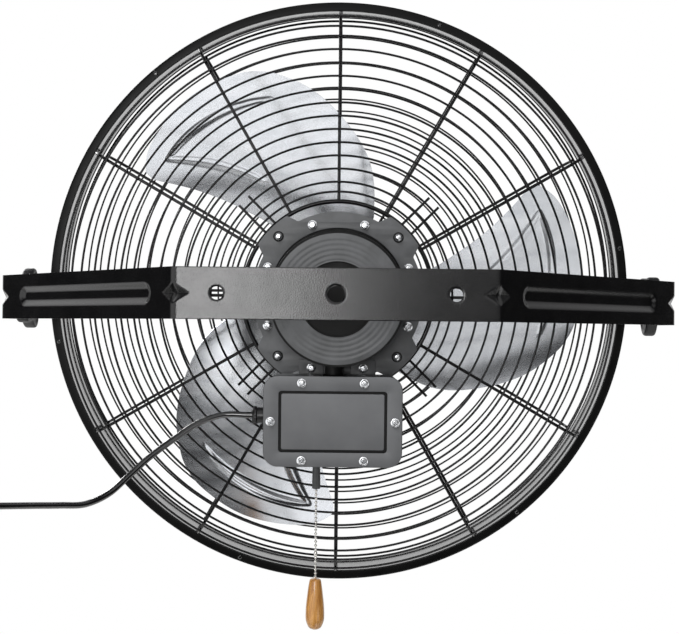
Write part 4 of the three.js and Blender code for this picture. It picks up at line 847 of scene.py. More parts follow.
# ---- rim band ----
rim = {"radius": 340, "rear": 45, "front": 39, "sheet": 1.5, "rearLip": 10, "frontLip": 2.4, "corner": 3.4}


def makeRim():
    r, s = rim["radius"], rim["sheet"]
    rear, front = -rim["rear"], rim["front"]
    profile = soften([
        (r - rim["rearLip"], rear, 0.6), (r, rear, 3.2), (r, front, 3), (r - rim["frontLip"], front, 1),
        (r - rim["frontLip"], front - s, 0.4), (r - s, front - s, 1.8), (r - s, rear + s, 2.6),
        (r - rim["rearLip"], rear + s, 0.6)], steps=5)
    piece = turned("rimBand", profile, rimEnamel, 240, True, 40)
    piece.data.materials.append(lipShadeEnamel)
    headward = headPlace.inverted()
    # painted shade: the rear lip's faces take the darker, duller enamel so they stay black
    for polygon in piece.data.polygons:
        if (headward @ polygon.center).y < -(rim["rear"] - rim["corner"]) * mm:
            polygon.material_index = 1
    return piece


rimBand = makeRim()
standIn(rimBand, "rim_paint", "head", "rim_band")


# ---- fasteners: a tree that puts one head on every point, each turned at random about its own axis ----
def fastenerTree():
    tree = bpy.data.node_groups.new("fasteners", "GeometryNodeTree")
    for name, kind in (("Places", "NodeSocketGeometry"), ("Fastener", "NodeSocketObject"),
                       ("Most Turn", "NodeSocketFloat"), ("Seed", "NodeSocketInt"),
                       ("Finish", "NodeSocketMaterial")):
        tree.interface.new_socket(name, in_out="INPUT", socket_type=kind)
    tree.interface.new_socket("Fasteners", in_out="OUTPUT", socket_type="NodeSocketGeometry")
    given = addNode(tree, "NodeGroupInput").outputs
    model = addNode(tree, "GeometryNodeObjectInfo", {"transform_space": "ORIGINAL"},
                    {"Object": given["Fastener"]})
    least = maths(tree, "MULTIPLY", given["Most Turn"], -1.0)
    turn = addNode(tree, "FunctionNodeRandomValue", {"data_type": "FLOAT"},
                   {2: least, 3: given["Most Turn"], "Seed": given["Seed"]}).outputs[1]
    spin = nodeOut(tree, "ShaderNodeCombineXYZ", inputs={"Y": turn})
    placed = nodeOut(tree, "GeometryNodeInstanceOnPoints", inputs={
        "Points": given["Places"], "Instance": model.outputs["Geometry"], "Rotation": spin})
    real = nodeOut(tree, "GeometryNodeRealizeInstances", inputs={"Geometry": placed})
    done = nodeOut(tree, "GeometryNodeSetMaterial", inputs={"Geometry": real, "Material": given["Finish"]})
    addNode(tree, "NodeGroupOutput", inputs={0: done})
    return tree


# runs a tree on a piece, its inputs given by name, and keeps the result as a plain mesh
def grow(name, tree, values, points=(), place=headPlace, sharp=30):
    mesh = bpy.data.meshes.new(name)
    mesh.from_pydata([Vector(p) * mm for p in points], [], [])
    piece = addObject(name, mesh)
    modifier = piece.modifiers.new(tree.name, "NODES")
    modifier.node_group = tree
    for socket in tree.interface.items_tree:
        if socket.in_out == "INPUT" and socket.name in values:
            modifier[socket.identifier] = values[socket.name]
    settle(piece, sharp)
    if place:
        piece.data.transform(place)
    return piece


fastenersOnPoints = fastenerTree()
fastener = {
    "plateScrew": {"head": 5.5, "tall": 3.6, "shank": 2.4, "long": 12, "cross": 2.6},
    "coverScrew": {"head": 5.25, "tall": 3.0, "shank": 1.8, "long": 15, "cross": 2.4},
    "lobeBolt": {"head": 4.4, "tall": 3.4, "shank": 3.0, "long": 14, "cross": 0},
    # the bolt discs are painted shade: black, where the plate's holes round the bolts lie dark
    "boltCup": {"head": 6.0, "tall": 0.7, "shank": 3.0, "long": 1, "cross": 0},
    "rimRivet": {"head": 2.6, "tall": 1.1, "shank": 1.2, "long": 2, "cross": 0},
}


# one screw about Y, its head towards -Y: a domed pan with a flange, and a cross recess where it has one
def makeFastener(kind, size):
    head, tall = size["head"], size["tall"]
    if size["cross"]:
        corners = [(0, -tall), (head - 2.3, -tall, 0.7), (head - 1.7, -1.3, 0.6), (head - 0.3, -1.0, 0.4),
                   (head, 0, 0.2),
                   (size["shank"], 0, 0), (size["shank"], size["long"], 0.4), (0, size["long"])]
    else:
        corners = [(0, -tall), (head * 0.62, -tall, head * 0.45), (head, -tall * 0.25, 0.8), (head, 0, 0.2),
                   (size["shank"], 0, 0), (size["shank"], size["long"], 0.4), (0, size["long"])]
    body = turned(kind, soften(corners, closed=False), zincPlate, 28, False, 30, None)
    if size["cross"]:
        reach = size["cross"]
        for turn in (0, 1):
            wide, thin = (reach, 0.5) if turn == 0 else (0.5, reach)
            top, low = -tall - 1, -tall + 1.5
            spots = [(sx * wide * s, y, sz * thin * s) for y, s in ((top, 1.15), (low, 0.55))
                     for sx, sz in ((-1, -1), (1, -1), (1, 1), (-1, 1))]
            cutter = makePiece("recess", spots, [[0, 1, 2, 3], [4, 5, 6, 7], [0, 1, 5, 4], [1, 2, 6, 5],
                                                 [2, 3, 7, 6], [3, 0, 4, 7]], zincPlate)
            recess = body.modifiers.new("recess", "BOOLEAN")
            recess.operation = "DIFFERENCE"
            recess.object = cutter
            settle(body, 30)
            bpy.data.objects.remove(cutter)
    return body


def fastenAt(name, kind, points, nodes, body="head", turn=math.pi, seed=3, place=headPlace, finish=None):
    model = makeFastener(kind, fastener[kind])
    piece = grow(name, fastenersOnPoints, {"Fastener": model, "Most Turn": turn, "Seed": seed,
                                           "Finish": finish or zincPlate}, points, place)
    bpy.data.objects.remove(model)
    if nodes:
        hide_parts(*nodes)
    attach(piece, body)
    return piece


# ---- wire guards: one tree for both, with rings, ribs and odd rings such as the hub's ----
def guardTree(oddRings):
    tree = bpy.data.node_groups.new("wireGuard", "GeometryNodeTree")
    floats = ["Rib Wire", "Ring Wire", "First Ring", "Ring Pitch", "Ring Height", "Flat Height",
              "Edge Height", "Rib From", "Flat Radius", "Edge Radius"]
    for i in range(oddRings):
        floats += [f"Odd Radius {i}", f"Odd Height {i}", f"Odd Wire {i}"]
    tree.interface.new_socket("Guard", in_out="INPUT", socket_type="NodeSocketGeometry")
    for name in floats:
        tree.interface.new_socket(name, in_out="INPUT", socket_type="NodeSocketFloat")
    for name in ("Rib Count", "Ring Count"):
        tree.interface.new_socket(name, in_out="INPUT", socket_type="NodeSocketInt")
    tree.interface.new_socket("Finish", in_out="INPUT", socket_type="NodeSocketMaterial")
    tree.interface.new_socket("Guard", in_out="OUTPUT", socket_type="NodeSocketGeometry")
    given = addNode(tree, "NodeGroupInput").outputs

    def timesPlus(a, b, c=0.0):  # a * b + c
        return maths(tree, "MULTIPLY_ADD", a, b, c)

    def point(x, y, z=0.0):
        return nodeOut(tree, "ShaderNodeCombineXYZ", inputs={"X": x, "Y": y, "Z": z})

    def drawn(line, wire, sides):
        section = addNode(tree, "GeometryNodeCurvePrimitiveCircle",
                          inputs={"Resolution": sides, "Radius": timesPlus(wire, 0.5)}).outputs["Curve"]
        even = nodeOut(tree, "GeometryNodeSetCurveRadius", inputs={"Curve": line, "Radius": 1.0})
        return nodeOut(tree, "GeometryNodeCurveToMesh",
                       inputs={"Curve": even, "Profile Curve": section, "Fill Caps": True})

    # a rib runs straight to the flat's end and then through a quarter of an ellipse down to the edge
    wide = timesPlus(given["Flat Radius"], -1.0, given["Edge Radius"])
    deep = timesPlus(given["Flat Height"], -1.0, given["Edge Height"])
    corner = point(given["Flat Radius"], given["Flat Height"])
    straight = nodeOut(tree, "GeometryNodeCurvePrimitiveLine", inputs={
        "Start": point(given["Rib From"], given["Flat Height"]), "End": corner})
    bent = nodeOut(tree, "GeometryNodeCurvePrimitiveBezierSegment", {"mode": "POSITION"}, {
        "Resolution": 14, "Start": corner,
        "Start Handle": point(timesPlus(wide, 0.552, given["Flat Radius"]), given["Flat Height"]),
        "End Handle": point(given["Edge Radius"], timesPlus(deep, 0.448, given["Flat Height"])),
        "End": point(given["Edge Radius"], given["Edge Height"])})
    rib = addNode(tree, "GeometryNodeJoinGeometry")
    for line in (straight, bent):
        tree.links.new(drawn(line, given["Rib Wire"], 12), rib.inputs[0])
    number = nodeOut(tree, "GeometryNodeInputIndex")
    share = maths(tree, "DIVIDE", number, given["Rib Count"])
    ribs = nodeOut(tree, "GeometryNodeInstanceOnPoints", inputs={
        "Points": addNode(tree, "GeometryNodePoints", inputs={"Count": given["Rib Count"]}).outputs[0],
        "Instance": rib.outputs[0], "Rotation": point(0.0, timesPlus(share, 2 * math.pi))})

    # the rings on the flat are one circle, scaled out ring by ring
    size = timesPlus(number, given["Ring Pitch"], given["First Ring"])
    hoops = nodeOut(tree, "GeometryNodeInstanceOnPoints", inputs={
        "Points": addNode(tree, "GeometryNodePoints", inputs={
            "Count": given["Ring Count"], "Position": point(0.0, given["Ring Height"])}).outputs[0],
        "Instance": addNode(tree, "GeometryNodeCurvePrimitiveCircle",
                            inputs={"Resolution": 160, "Radius": 1.0}).outputs["Curve"],
        "Rotation": point(math.pi / 2, 0.0), "Scale": point(size, size, size)})
    flat = nodeOut(tree, "GeometryNodeRealizeInstances", inputs={"Geometry": hoops})

    whole = addNode(tree, "GeometryNodeJoinGeometry")
    tree.links.new(nodeOut(tree, "GeometryNodeRealizeInstances", inputs={"Geometry": ribs}), whole.inputs[0])
    tree.links.new(drawn(flat, given["Ring Wire"], 9), whole.inputs[0])
    for i in range(oddRings):
        one = addNode(tree, "GeometryNodeCurvePrimitiveCircle",
                      inputs={"Resolution": 160, "Radius": given[f"Odd Radius {i}"]}).outputs["Curve"]
        laid = nodeOut(tree, "GeometryNodeTransform", inputs={
            "Geometry": one, "Translation": point(0.0, given[f"Odd Height {i}"]),
            "Rotation": (math.pi / 2, 0, 0)})
        tree.links.new(drawn(laid, given[f"Odd Wire {i}"], 10), whole.inputs[0])
    real = nodeOut(tree, "GeometryNodeRealizeInstances", inputs={"Geometry": whole.outputs[0]})
    done = nodeOut(tree, "GeometryNodeSetMaterial", inputs={"Geometry": real, "Material": given["Finish"]})
    addNode(tree, "NodeGroupOutput", inputs={0: done})
    return tree


rearCage = {"flat": 89, "edgeY": 41.3, "from": 105.2, "flatRadius": 286, "edge": 327.9, "ringAt": 331.8,
            "first": 129.8, "pitch": 14.8,
            "rings": 12, "hub": 107.7, "hubWire": 5, "extra": 118.75, "skirt": (303, 315), "edgeWire": 4,
            "ribWire": 3.6, "ringWire": 2.6, "ribs": 12, "over": 3.0}
frontCage = {"flat": 59, "edgeY": 37, "from": 14, "flatRadius": 298, "edge": 332.2, "ringAt": 334.2,
             "first": 35, "pitch": 14.8,
             "rings": 18, "skirt": (304, 317), "edgeWire": 2.8, "ribWire": 3.6, "ringWire": 2.2, "ribs": 12,
             "over": 3.0}


# side is -1 for the guard towards the wall and 1 for the one towards the room
def makeGuard(name, cage, side):
    odd = []
    deep = cage["flat"] - cage["edgeY"]
    for radius in cage["skirt"]:
        share = (radius - cage["flatRadius"]) / (cage["edge"] - cage["flatRadius"])
        root = math.sqrt(1 - share * share)
        slope = math.atan2(deep * share, (cage["edge"] - cage["flatRadius"]) * root)
        odd.append((radius + cage["over"] * math.sin(slope),
                    cage["flat"] - deep * (1 - root) + cage["over"] * math.cos(slope), cage["ringWire"]))
    odd.append((cage["ringAt"], cage["edgeY"], cage["edgeWire"]))
    if "hub" in cage:
        odd.append((cage["hub"], cage["flat"] + cage["over"] + 1, cage["hubWire"]))
        odd.append((cage["extra"], cage["flat"] + cage["over"], cage["ringWire"]))
    values = {"Rib Wire": cage["ribWire"] * mm, "Ring Wire": cage["ringWire"] * mm,
              "First Ring": cage["first"] * mm,
              "Ring Pitch": cage["pitch"] * mm, "Ring Height": side * (cage["flat"] + cage["over"]) * mm,
              "Flat Height": side * cage["flat"] * mm, "Edge Height": side * cage["edgeY"] * mm,
              "Rib From": cage["from"] * mm, "Flat Radius": cage["flatRadius"] * mm,
              "Edge Radius": cage["edge"] * mm, "Rib Count": cage["ribs"], "Ring Count": cage["rings"],
              "Finish": wireCoat}
    for i, (radius, height, wire) in enumerate(odd):
        values[f"Odd Radius {i}"] = radius * mm
        values[f"Odd Height {i}"] = side * height * mm
        values[f"Odd Wire {i}"] = wire * mm
    return grow(name, guardTree(len(odd)), values, sharp=50)


# the four hairpin wires that loop round the lobe bolts
hairpin = {"half": 7.5, "circle": 95.5, "end": 151.8, "wire": 3.0, "y": -93.0}


def makeHairpins():
    pins = []
    for turn in (45, 135, 225, 315):
        line = [(hairpin["end"], hairpin["half"])]
        line += [(hairpin["circle"] + 6 + hairpin["half"] * math.cos(a), hairpin["half"] * math.sin(a))
                 for a in (math.pi / 2 + k * math.pi / 10 for k in range(11))]
        line += [(hairpin["end"], -hairpin["half"])]
        c, s = math.cos(math.radians(turn)), math.sin(math.radians(turn))
        path = [(x * c - z * s, hairpin["y"], x * s + z * c) for x, z in line]
        points, faces = wireAlong(path, hairpin["wire"] / 2, 10)
        pins.append(makePiece("hairpin", points, faces, wireCoat, 50, headPlace))
    return pins


rearGuard = merge("rearGuard", [makeGuard("rearWires", rearCage, -1), *makeHairpins()])
standIn(rearGuard, "guard_paint", "head", "rear_guard")
washer = turned("centreWasher", soften([(0, 61.5), (16, 61.5, 4), (20, 58.4, 0.8), (20, 57, 0.8), (14, 60, 3),
                                        (0, 60)],
                                       closed=False), wireCoat, 72, False)
frontGuard = merge("frontGuard", [makeGuard("frontWires", frontCage, 1), washer])
standIn(frontGuard, "guard_paint", "head", "front_guard")
print("guards done")

# six small dome screws on the rim's rear lip
rimScrew = {"circle": 334.5, "y": -45.1, "first": 10, "every": 60, "count": 6}
rimScrews = [onCircle(rimScrew["circle"], rimScrew["first"] + rimScrew["every"] * k)
             for k in range(rimScrew["count"])]
fastenAt("rimScrews", "rimRivet", [(x, rimScrew["y"], z) for x, z in rimScrews], [], finish=rimEnamel)


# ---- motor plate, can and fasteners ----
plate = {"radius": 96, "lobe": 108, "half": 14.5, "step": 2.2, "front": -96.59, "rear": -99.09, "bore": 77.6,
         "boltCircle": 95.5, "boltHole": 3.3, "screwCircle": 86, "screwHole": 2.7,
         "screws": [22.5, 70, 110, 157.5, 202.5, 250, 290, 337.5]}


def plateOutline():
    line = []
    half, step = plate["half"], plate["step"]
    for i in range(4):
        middle = 45 + i * 90
        for k in range(15):
            a = middle - 90 + half + step + (90 - 2 * half - 2 * step) * k / 14
            line.append((*onCircle(plate["radius"], a), 3 if k in (0, 14) else 0))
        for k in range(9):
            a = middle - half + step + (2 * half - 2 * step) * k / 8
            line.append((*onCircle(plate["lobe"], a), 5 if k in (0, 8) else 0))
    return soften(line, steps=4)


motorPlate = sheetBetween("motorPlate", [
    plateOutline(), circle(0, 0, plate["bore"], 96)[::-1],
    *[circle(*onCircle(plate["boltCircle"], a), plate["boltHole"], 20)[::-1] for a in (45, 135, 225, 315)],
    *[circle(*onCircle(plate["screwCircle"], a), plate["screwHole"], 20)[::-1] for a in plate["screws"]],
], plate["rear"], plate["front"], motorPaint, 0.5)
standIn(motorPlate, "motor_paint", "head", "motor_plate")

rearSeat, tabSeat = plate["rear"] - 0.3, plate["rear"] - 2.6
boltSpots = [onCircle(plate["boltCircle"], a) for a in (45, 135, 225, 315)]
fastenAt("lobeBolts", "lobeBolt", [(x, rearSeat - 0.4, z) for x, z in boltSpots],
         [f"plate_bolt_{i}" for i in (1, 2, 3, 4)])
# black discs round the lobe bolts: painted shade of the holes they sit in
fastenAt("boltCups", "boltCup", [(x, rearSeat + 0.2, z) for x, z in boltSpots], [], finish=blackPaintAndShade)
plateSpots = []
for a in plate["screws"]:
    x, z = onCircle(plate["screwCircle"], a)
    plateSpots.append((x, tabSeat if 225 < a < 315 else rearSeat, z))
fastenAt("plateScrews", "plateScrew", plateSpots, [f"plate_screw_{i}" for i in range(1, 9)], seed=5)

can = {"radius": 73.5, "rear": -164, "opening": 40, "flange": 92, "sheet": 1.5, "flangeRear": -96.29,
       "ripple": 0.25}


# A drawn cup: its end has shallow rolled ripples round the opening. Its wall, flange and opening get flat
# black as painted shade, and the plate leaves a gap round it.
def makeCan():
    end, sheet, r = can["rear"], can["sheet"], can["radius"]
    face = []
    steps = 56
    for k in range(steps + 1):
        t = k / steps
        radius = can["opening"] + 1.5 + t * (r - can["opening"] - 6.5)
        wave = math.sin(t * 5 * math.pi) ** 2 * can["ripple"]
        face.append((radius, end + 1.2 - wave))
    outer = soften([(can["opening"], end + 6, 0.5), (can["opening"], end + 0.6, 1.4), face[1]], steps=4,
                   closed=False)[:-1]
    rest = soften([face[-2], (r, end + 1.6, 5), (r, can["flangeRear"], 2),
                   (can["flange"], can["flangeRear"], 0.5),
                   (can["flange"], can["flangeRear"] + sheet, 0.5), (r - sheet, can["flangeRear"] + sheet, 2),
                   (r - sheet, end + 3.4, 3), (can["opening"] + sheet, end + 3.4, 1),
                   (can["opening"] + sheet, end + 6, 0.5)], steps=5, closed=False)
    cup = turned("motorCan", [*outer, *face[1:-2], *rest], motorPaint, 144, True, 40)
    cup.data.materials.append(blackPaintAndShade)  # the wall, flange and opening take the black as painted shade; only the end face carries the grey paint
    axis = headPlace.inverted()
    for part in cup.data.polygons:
        spot = axis @ part.center / mm
        wide = math.hypot(spot.x, spot.z)
        if wide > r - 3.4 or spot.y > end + 3.2 or wide < can["opening"] + 1:
            part.material_index = 1
    return cup


motorCan = makeCan()
standIn(motorCan, "motor_paint", "head", "motor_rear_can")

# the closed bearing cup that shows through the can's opening: painted black as shade inside the opening, so
# only its edge catches light
bearingCup = {"rear": -162.4, "seat": -160.5, "radius": 58, "boss": 21.8, "bossFront": -147.6, "bore": 12.6}
rearBearingCup = turned("rearBearingCup", soften([
    (0, bearingCup["rear"]), (20, bearingCup["rear"], 2), (24, bearingCup["seat"], 2),
    (bearingCup["radius"], bearingCup["seat"], 0.5), (bearingCup["radius"], bearingCup["seat"] + 2, 0.5),
    (bearingCup["boss"], bearingCup["seat"] + 2, 2), (bearingCup["boss"], bearingCup["bossFront"], 0.8),
    (bearingCup["bore"], bearingCup["bossFront"], 0.4), (bearingCup["bore"], bearingCup["seat"] - 0.3, 0.4),
    (0, bearingCup["seat"] - 0.3)], closed=False), blackPaintAndShade, 72, False)
standIn(rearBearingCup, "black_metal", "head", "rear_bearing_bracket")

bell = {"rear": -94.49, "front": -67.49, "flange": 92, "sheet": 3, "boss": 21.8, "fins": 12}


# the cast front bell: a domed cover with radial fins and a bearing boss
def makeBell():
    rear, front = bell["rear"], bell["front"]
    profile = soften([(bell["flange"], rear, 0.6), (bell["flange"], rear + bell["sheet"], 1),
                      (71.5, rear + 3, 3),
                      (61.5, front - 11, 6), (bell["boss"] + 1, front - 9, 3), (bell["boss"], front, 1),
                      (12.5, front, 0.5),
                      (12.5, front - 2, 0.4), (17.8, front - 2, 0.3), (17.8, front - 14.3, 1),
                      (60.5, front - 14.3, 3), (68.5, rear, 1)], steps=5)
    body = turned("bellBody", profile, motorPaint, 120, True, 32)
    fins = []
    for k in range(bell["fins"]):
        a = 360 / bell["fins"] * (k + 0.5)
        c, s = math.cos(math.radians(a)), math.sin(math.radians(a))
        side = [(24, front - 9.4), (58, front - 11.2), (71, rear + 3), (71, rear + 5.5), (60, front - 8),
                (24, front - 5)]
        points = [(r * c - w * s, y, r * s + w * c) for w in (-1.2, 1.2) for r, y in side]
        n = len(side)
        faces = [list(range(n))[::-1], list(range(n, 2 * n))]
        faces += [[i, (i + 1) % n, n + (i + 1) % n, n + i] for i in range(n)]
        fins.append(bevelled(makePiece("fin", points, faces, motorPaint, 30, headPlace), 0.5, 2, 50))
    return merge("frontBell", [body, *fins])


frontBell = makeBell()
standIn(frontBell, "motor_paint", "head", "motor_front_bell")
print("motor done")


# ---- blades ----
blades = {
    "count": 3, "angle": 112, "plane": -12, "lead": 80, "camber": 7, "sheet": 1.8, "tip": 297.5,
    "leading": [(73, 0.222), (66.5, 0.316), (69, 0.376), (77, 0.528), (88, 0.679), (98, 0.817), (107, 0.918)],
    "tipEdge": [(107, 0.918), (112, 0.955), (118, 0.978), (127, 1), (137, 0.998), (144, 0.985),
                (148.5, 0.951)],
    "trailing": [(130, 0.222), (135, 0.397), (138.5, 0.5), (142, 0.629), (146.5, 0.797), (149, 0.901),
                 (148.5, 0.951)],
    "root": [(73, 0.222), (130, 0.222)],
    "ribWide": 6, "ribTall": 2.2,
    "ribs": [[(142.5, 0.9), (135, 0.75), (124, 0.548)], [(142, 0.9), (129, 0.9), (109.5, 0.824)]],
}


# the CAD's spline: uniform, through every point
def uniformSpline(points, t):
    spot = (len(points) - 1) * t
    i = min(int(spot), len(points) - 1)
    w = spot - i
    picked = [points[min(max(j, 0), len(points) - 1)] for j in (i - 1 if i else i, i, i + 1, i + 2)]
    out = []
    for a, b, c, d in zip(*picked):
        v0, v1 = (c - a) / 2, (d - b) / 2
        out.append((2 * b - 2 * c + v0 + v1) * w ** 3 + (-3 * b + 3 * c - 2 * v0 - v1) * w * w + v0 * w + b)
    return Vector(out)


def bladeSpot(u, v):
    l, t = uniformSpline(blades["leading"], v), uniformSpline(blades["tipEdge"], u)
    r, b = uniformSpline(blades["trailing"], v), uniformSpline(blades["root"], u)
    corners = [Vector(blades["root"][0]), Vector(blades["root"][1]), Vector(blades["tipEdge"][0]),
               Vector(blades["tipEdge"][-1])]
    spot = l * (1 - u) + r * u + b * (1 - v) + t * v
    spot -= (corners[0] * (1 - u) * (1 - v) + corners[1] * u * (1 - v)
             + corners[2] * (1 - u) * v + corners[3] * u * v)
    return spot.x, spot.y * blades["tip"]


def bladeHeight(angle, radius):
    share = min(max((angle - 66) / 83, 0), 1)
    fade = min(max((radius - 60) / 70, 0), 1)
    fade = fade * fade * (3 - 2 * fade)
    return (blades["plane"] + blades["lead"] * math.radians(angle - blades["angle"])
            - blades["camber"] * 4 * share * (1 - share) * fade)


# height of the pressed crow's foot at one place of the blade, out of its rear face
def ribHeight(x, z, ribLines):
    least = min((Vector((x, z)) - p).length / w for line in ribLines for p, w in line)
    t = max(0, 1 - least)
    return blades["ribTall"] * t * t * (3 - 2 * t)


def makeBlade(name, turn):
    ribLines = []
    for ends in blades["ribs"]:
        line = []
        for k in range(61):
            t = k / 60
            a, r = (p * (1 - t) ** 2 + q * 2 * t * (1 - t) + e * t * t for p, q, e in zip(*ends))
            x, z = onCircle(r * blades["tip"], a)
            wide = blades["ribWide"] * (0.25 + 0.9 * math.sin(math.pi * (0.08 + 0.84 * t)))
            line.append((Vector((x, z)), wide))
        ribLines.append(line)
    across, along = 90, 110
    points = []
    for j in range(along + 1):
        for i in range(across + 1):
            a, r = bladeSpot(i / across, j / along)
            x, z = onCircle(r, a)
            y = bladeHeight(a, r) - ribHeight(x, z, ribLines)
            x, z = onCircle(r, a + turn)
            points.append((x, y, z))
    piece = makePiece(name, points, sheetFaces(across, along), rolledAluminium, 60, headPlace, False)
    return thickened(piece, blades["sheet"], 0, 50)


for i in range(blades["count"]):
    blade = makeBlade(f"blade.{i + 1}", i * 120)
    standIn(blade, "aluminium", "fan", f"blade_{i + 1}")

spider = {"hub": 17, "rear": -44, "front": 0, "disc": 36, "arm": 36, "armEnd": 96, "sheet": 3, "bore": 8.3,
          "rivets": [(70, -9), (70, 9), (86, -9), (86, 9)]}


def spiderHeight(angle, radius):
    under = (blades["sheet"] + spider["sheet"]) / 2 + 0.6
    first = spider["disc"] - 10
    t = min(max((radius - first - 2) / (62 - first - 2), 0), 1)
    t = t * t * (3 - 2 * t)
    flat = bladeHeight(blades["angle"] - 8, radius) - under
    steep = math.hypot(1, blades["lead"] / radius)
    return flat + (bladeHeight(angle, radius) - under * steep - flat) * t


def makeSpider():
    parts = []
    first = spider["disc"] - 10
    for turn in (0, 120, 240):
        points = []
        across, along = 16, 40
        for j in range(along + 1):
            radius = first + (spider["armEnd"] - first) * j / along
            over = max(radius - (spider["armEnd"] - 10), 0) / 10
            half = spider["arm"] / 2 * (1 - 0.35 * over * over)
            for i in range(across + 1):
                a = blades["angle"] - 8 + math.degrees((2 * i / across - 1) * half / radius)
                x, z = onCircle(radius, a + turn)
                points.append((x, spiderHeight(a, radius), z))
        arm = makePiece("arm", points, sheetFaces(across, along), groundSteel, 40, headPlace, False)
        parts.append(thickened(arm, spider["sheet"], 0, 40))
    level = spiderHeight(blades["angle"] - 8, first)
    hub = turned("hub", soften([
        (spider["bore"], spider["rear"], 0.6), (spider["hub"], spider["rear"], 1.5),
        (spider["hub"], level - 2.5, 1.5),
        (spider["disc"], level - 2.5, 1.2), (spider["disc"], level + 2.5, 1.2),
        (spider["hub"], level + 2.5, 1.5),
        (spider["hub"], spider["front"], 1.5), (spider["bore"], spider["front"], 0.6)], steps=4), groundSteel,
                 72)
    return merge("bladeSpider", [*parts, hub])


bladeSpider = makeSpider()
standIn(bladeSpider, "steel", "fan", "blade_spider")

# four rivets hold each blade on its arm; their heads show on the wall side of the arm
fastener["bladeRivet"] = {"head": 4.2, "tall": 2.0, "shank": 2.0, "long": 5.5, "cross": 0}
rivetSpots = []
for turn in (0, 120, 240):
    for radius, off in spider["rivets"]:
        a = blades["angle"] - 8 + math.degrees(off / radius)
        x, z = onCircle(radius, a + turn)
        rivetSpots.append((x, spiderHeight(a, radius) - spider["sheet"] / 2 - 0.2, z))
fastenAt("bladeRivets", "bladeRivet", rivetSpots, [], "fan", 0.0)
print("blades done")


# ---- junction box ----
box = {"x": -4, "z": -134, "width": 152, "height": 100, "corner": 16, "inset": 3, "wall": 2,
       "front": -101.69, "rear": -149.69, "gasket": -151.59, "cover": -154.89, "coverThick": 3,
       "panel": (118, 67), "grooveDeep": 2.0, "tabRear": -101.39,
       "screws": [(-34, 42.5), (34, 42.5), (-68, 0), (68, 0), (-34, -42.5), (34, -42.5)]}


# points of rounded outlines, given as (width, height, corner, y), and how many each outline has
def boxRows(rows):
    points = []
    for width, height, corner, y in rows:
        points += [(x, y, z) for x, z in roundedBox(width, height, corner, box["x"], box["z"])]
    return points, len(points) // len(rows)


# The cover: concentric rounded outlines from the edge inwards, with a rolled edge and a groove round the
# panel.
def makeCover():
    rear, thick = box["cover"], box["coverThick"]
    w, h = box["width"], box["height"]
    pw, ph = box["panel"]
    g = box["grooveDeep"]
    rows = [(w - 8, h - 8, 12, rear + thick), (w - 0.4, h - 0.4, 16, rear + thick),
            (w, h, 16, rear + thick - 0.4), (w, h, 16, rear + 1.6), (w - 0.6, h - 0.6, 15.8, rear + 0.7),
            (w - 1.8, h - 1.8, 15.4, rear + 0.15),
            (w - 3.4, h - 3.4, 14.8, rear), (pw + 1.4, ph + 1.4, 4.2, rear),
            (pw + 0.5, ph + 0.5, 3.6, rear + 0.2),
            (pw - 0.2, ph - 0.2, 3.2, rear + g), (pw - 5.2, ph - 5.2, 2.4, rear + g),
            (pw - 5.8, ph - 5.8, 2.2, rear + 0.4), (pw - 6.4, ph - 6.4, 2, rear + 0.1),
            (pw - 7.6, ph - 7.6, 1.6, rear)]
    points, n = boxRows(rows)
    faces = bands(len(rows), n, False)
    faces += [list(range(n)), list(range(len(points) - n, len(points)))[::-1]]
    cover = makePiece("boxCover", points, faces, boxPaint, 30, headPlace)
    cover.data.materials.append(blackPaintAndShade)  # painted shade: the groove and the side take the black instead of the face's paint
    back = headPlace.inverted()
    for part in cover.data.polygons:
        if (back @ part.center / mm).y > rear + 0.8:
            part.material_index = 1
    return cover


boxCover = makeCover()
standIn(boxCover, "box_paint", "head", "box_cover")
bodySize = (box["width"] - 2 * box["inset"], box["height"] - 2 * box["inset"], box["corner"] - box["inset"])


# the drawn body behind the cover, open towards it, with a soft corner to its floor
def makeBoxBody():
    w, h, c = bodySize
    wall = box["wall"]
    rows = [(w - 2 * wall, h - 2 * wall, c - wall, box["rear"]), (w, h, c, box["rear"]),
            (w, h, c, box["front"] - 3),
            (w - 1, h - 1, c, box["front"] - 1), (w - 4, h - 4, c - 1, box["front"])]
    inner = [(w - 2 * wall - 4, h - 2 * wall - 4, c - wall, box["front"] - wall),
             (w - 2 * wall, h - 2 * wall, c - wall, box["front"] - wall - 2)]
    points, n = boxRows(rows + inner)
    floor = len(rows) * n
    faces = bands(len(rows), n, False) + [[floor - n + k for k in range(n)]]
    for k in range(n):
        j = (k + 1) % n
        faces += [[floor + k, floor + j, floor + n + j, floor + n + k], [floor + n + k, floor + n + j, j, k]]
    faces.append([floor + k for k in range(n)][::-1])
    return makePiece("boxBody", points, faces, boxPaint, 30, headPlace)


boxBody = makeBoxBody()
standIn(boxBody, "box_paint", "head", "box_body")
boxGasket = sheetBetween("boxGasket", [
    roundedBox(*bodySize, box["x"], box["z"]),
    roundedBox(bodySize[0] - 26, bodySize[1] - 26, 6, box["x"], box["z"])[::-1],
], box["gasket"], box["gasket"] + 1.6, gasketRubber, 0.3)
standIn(boxGasket, "rubber", "head", "box_gasket")
fastenAt("coverScrews", "coverScrew",
         [(box["x"] + x, box["cover"] - 0.3, box["z"] + z) for x, z in box["screws"]],
         [f"cover_screw_{i}" for i in range(1, 7)], seed=11)

bracket = {"half": 46, "bottom": -150, "top": -89, "tabTop": -71, "tabX": 29.41, "tabHalf": 14, "sheet": 2,
           "holeZ": -80.81, "hole": 2.7}


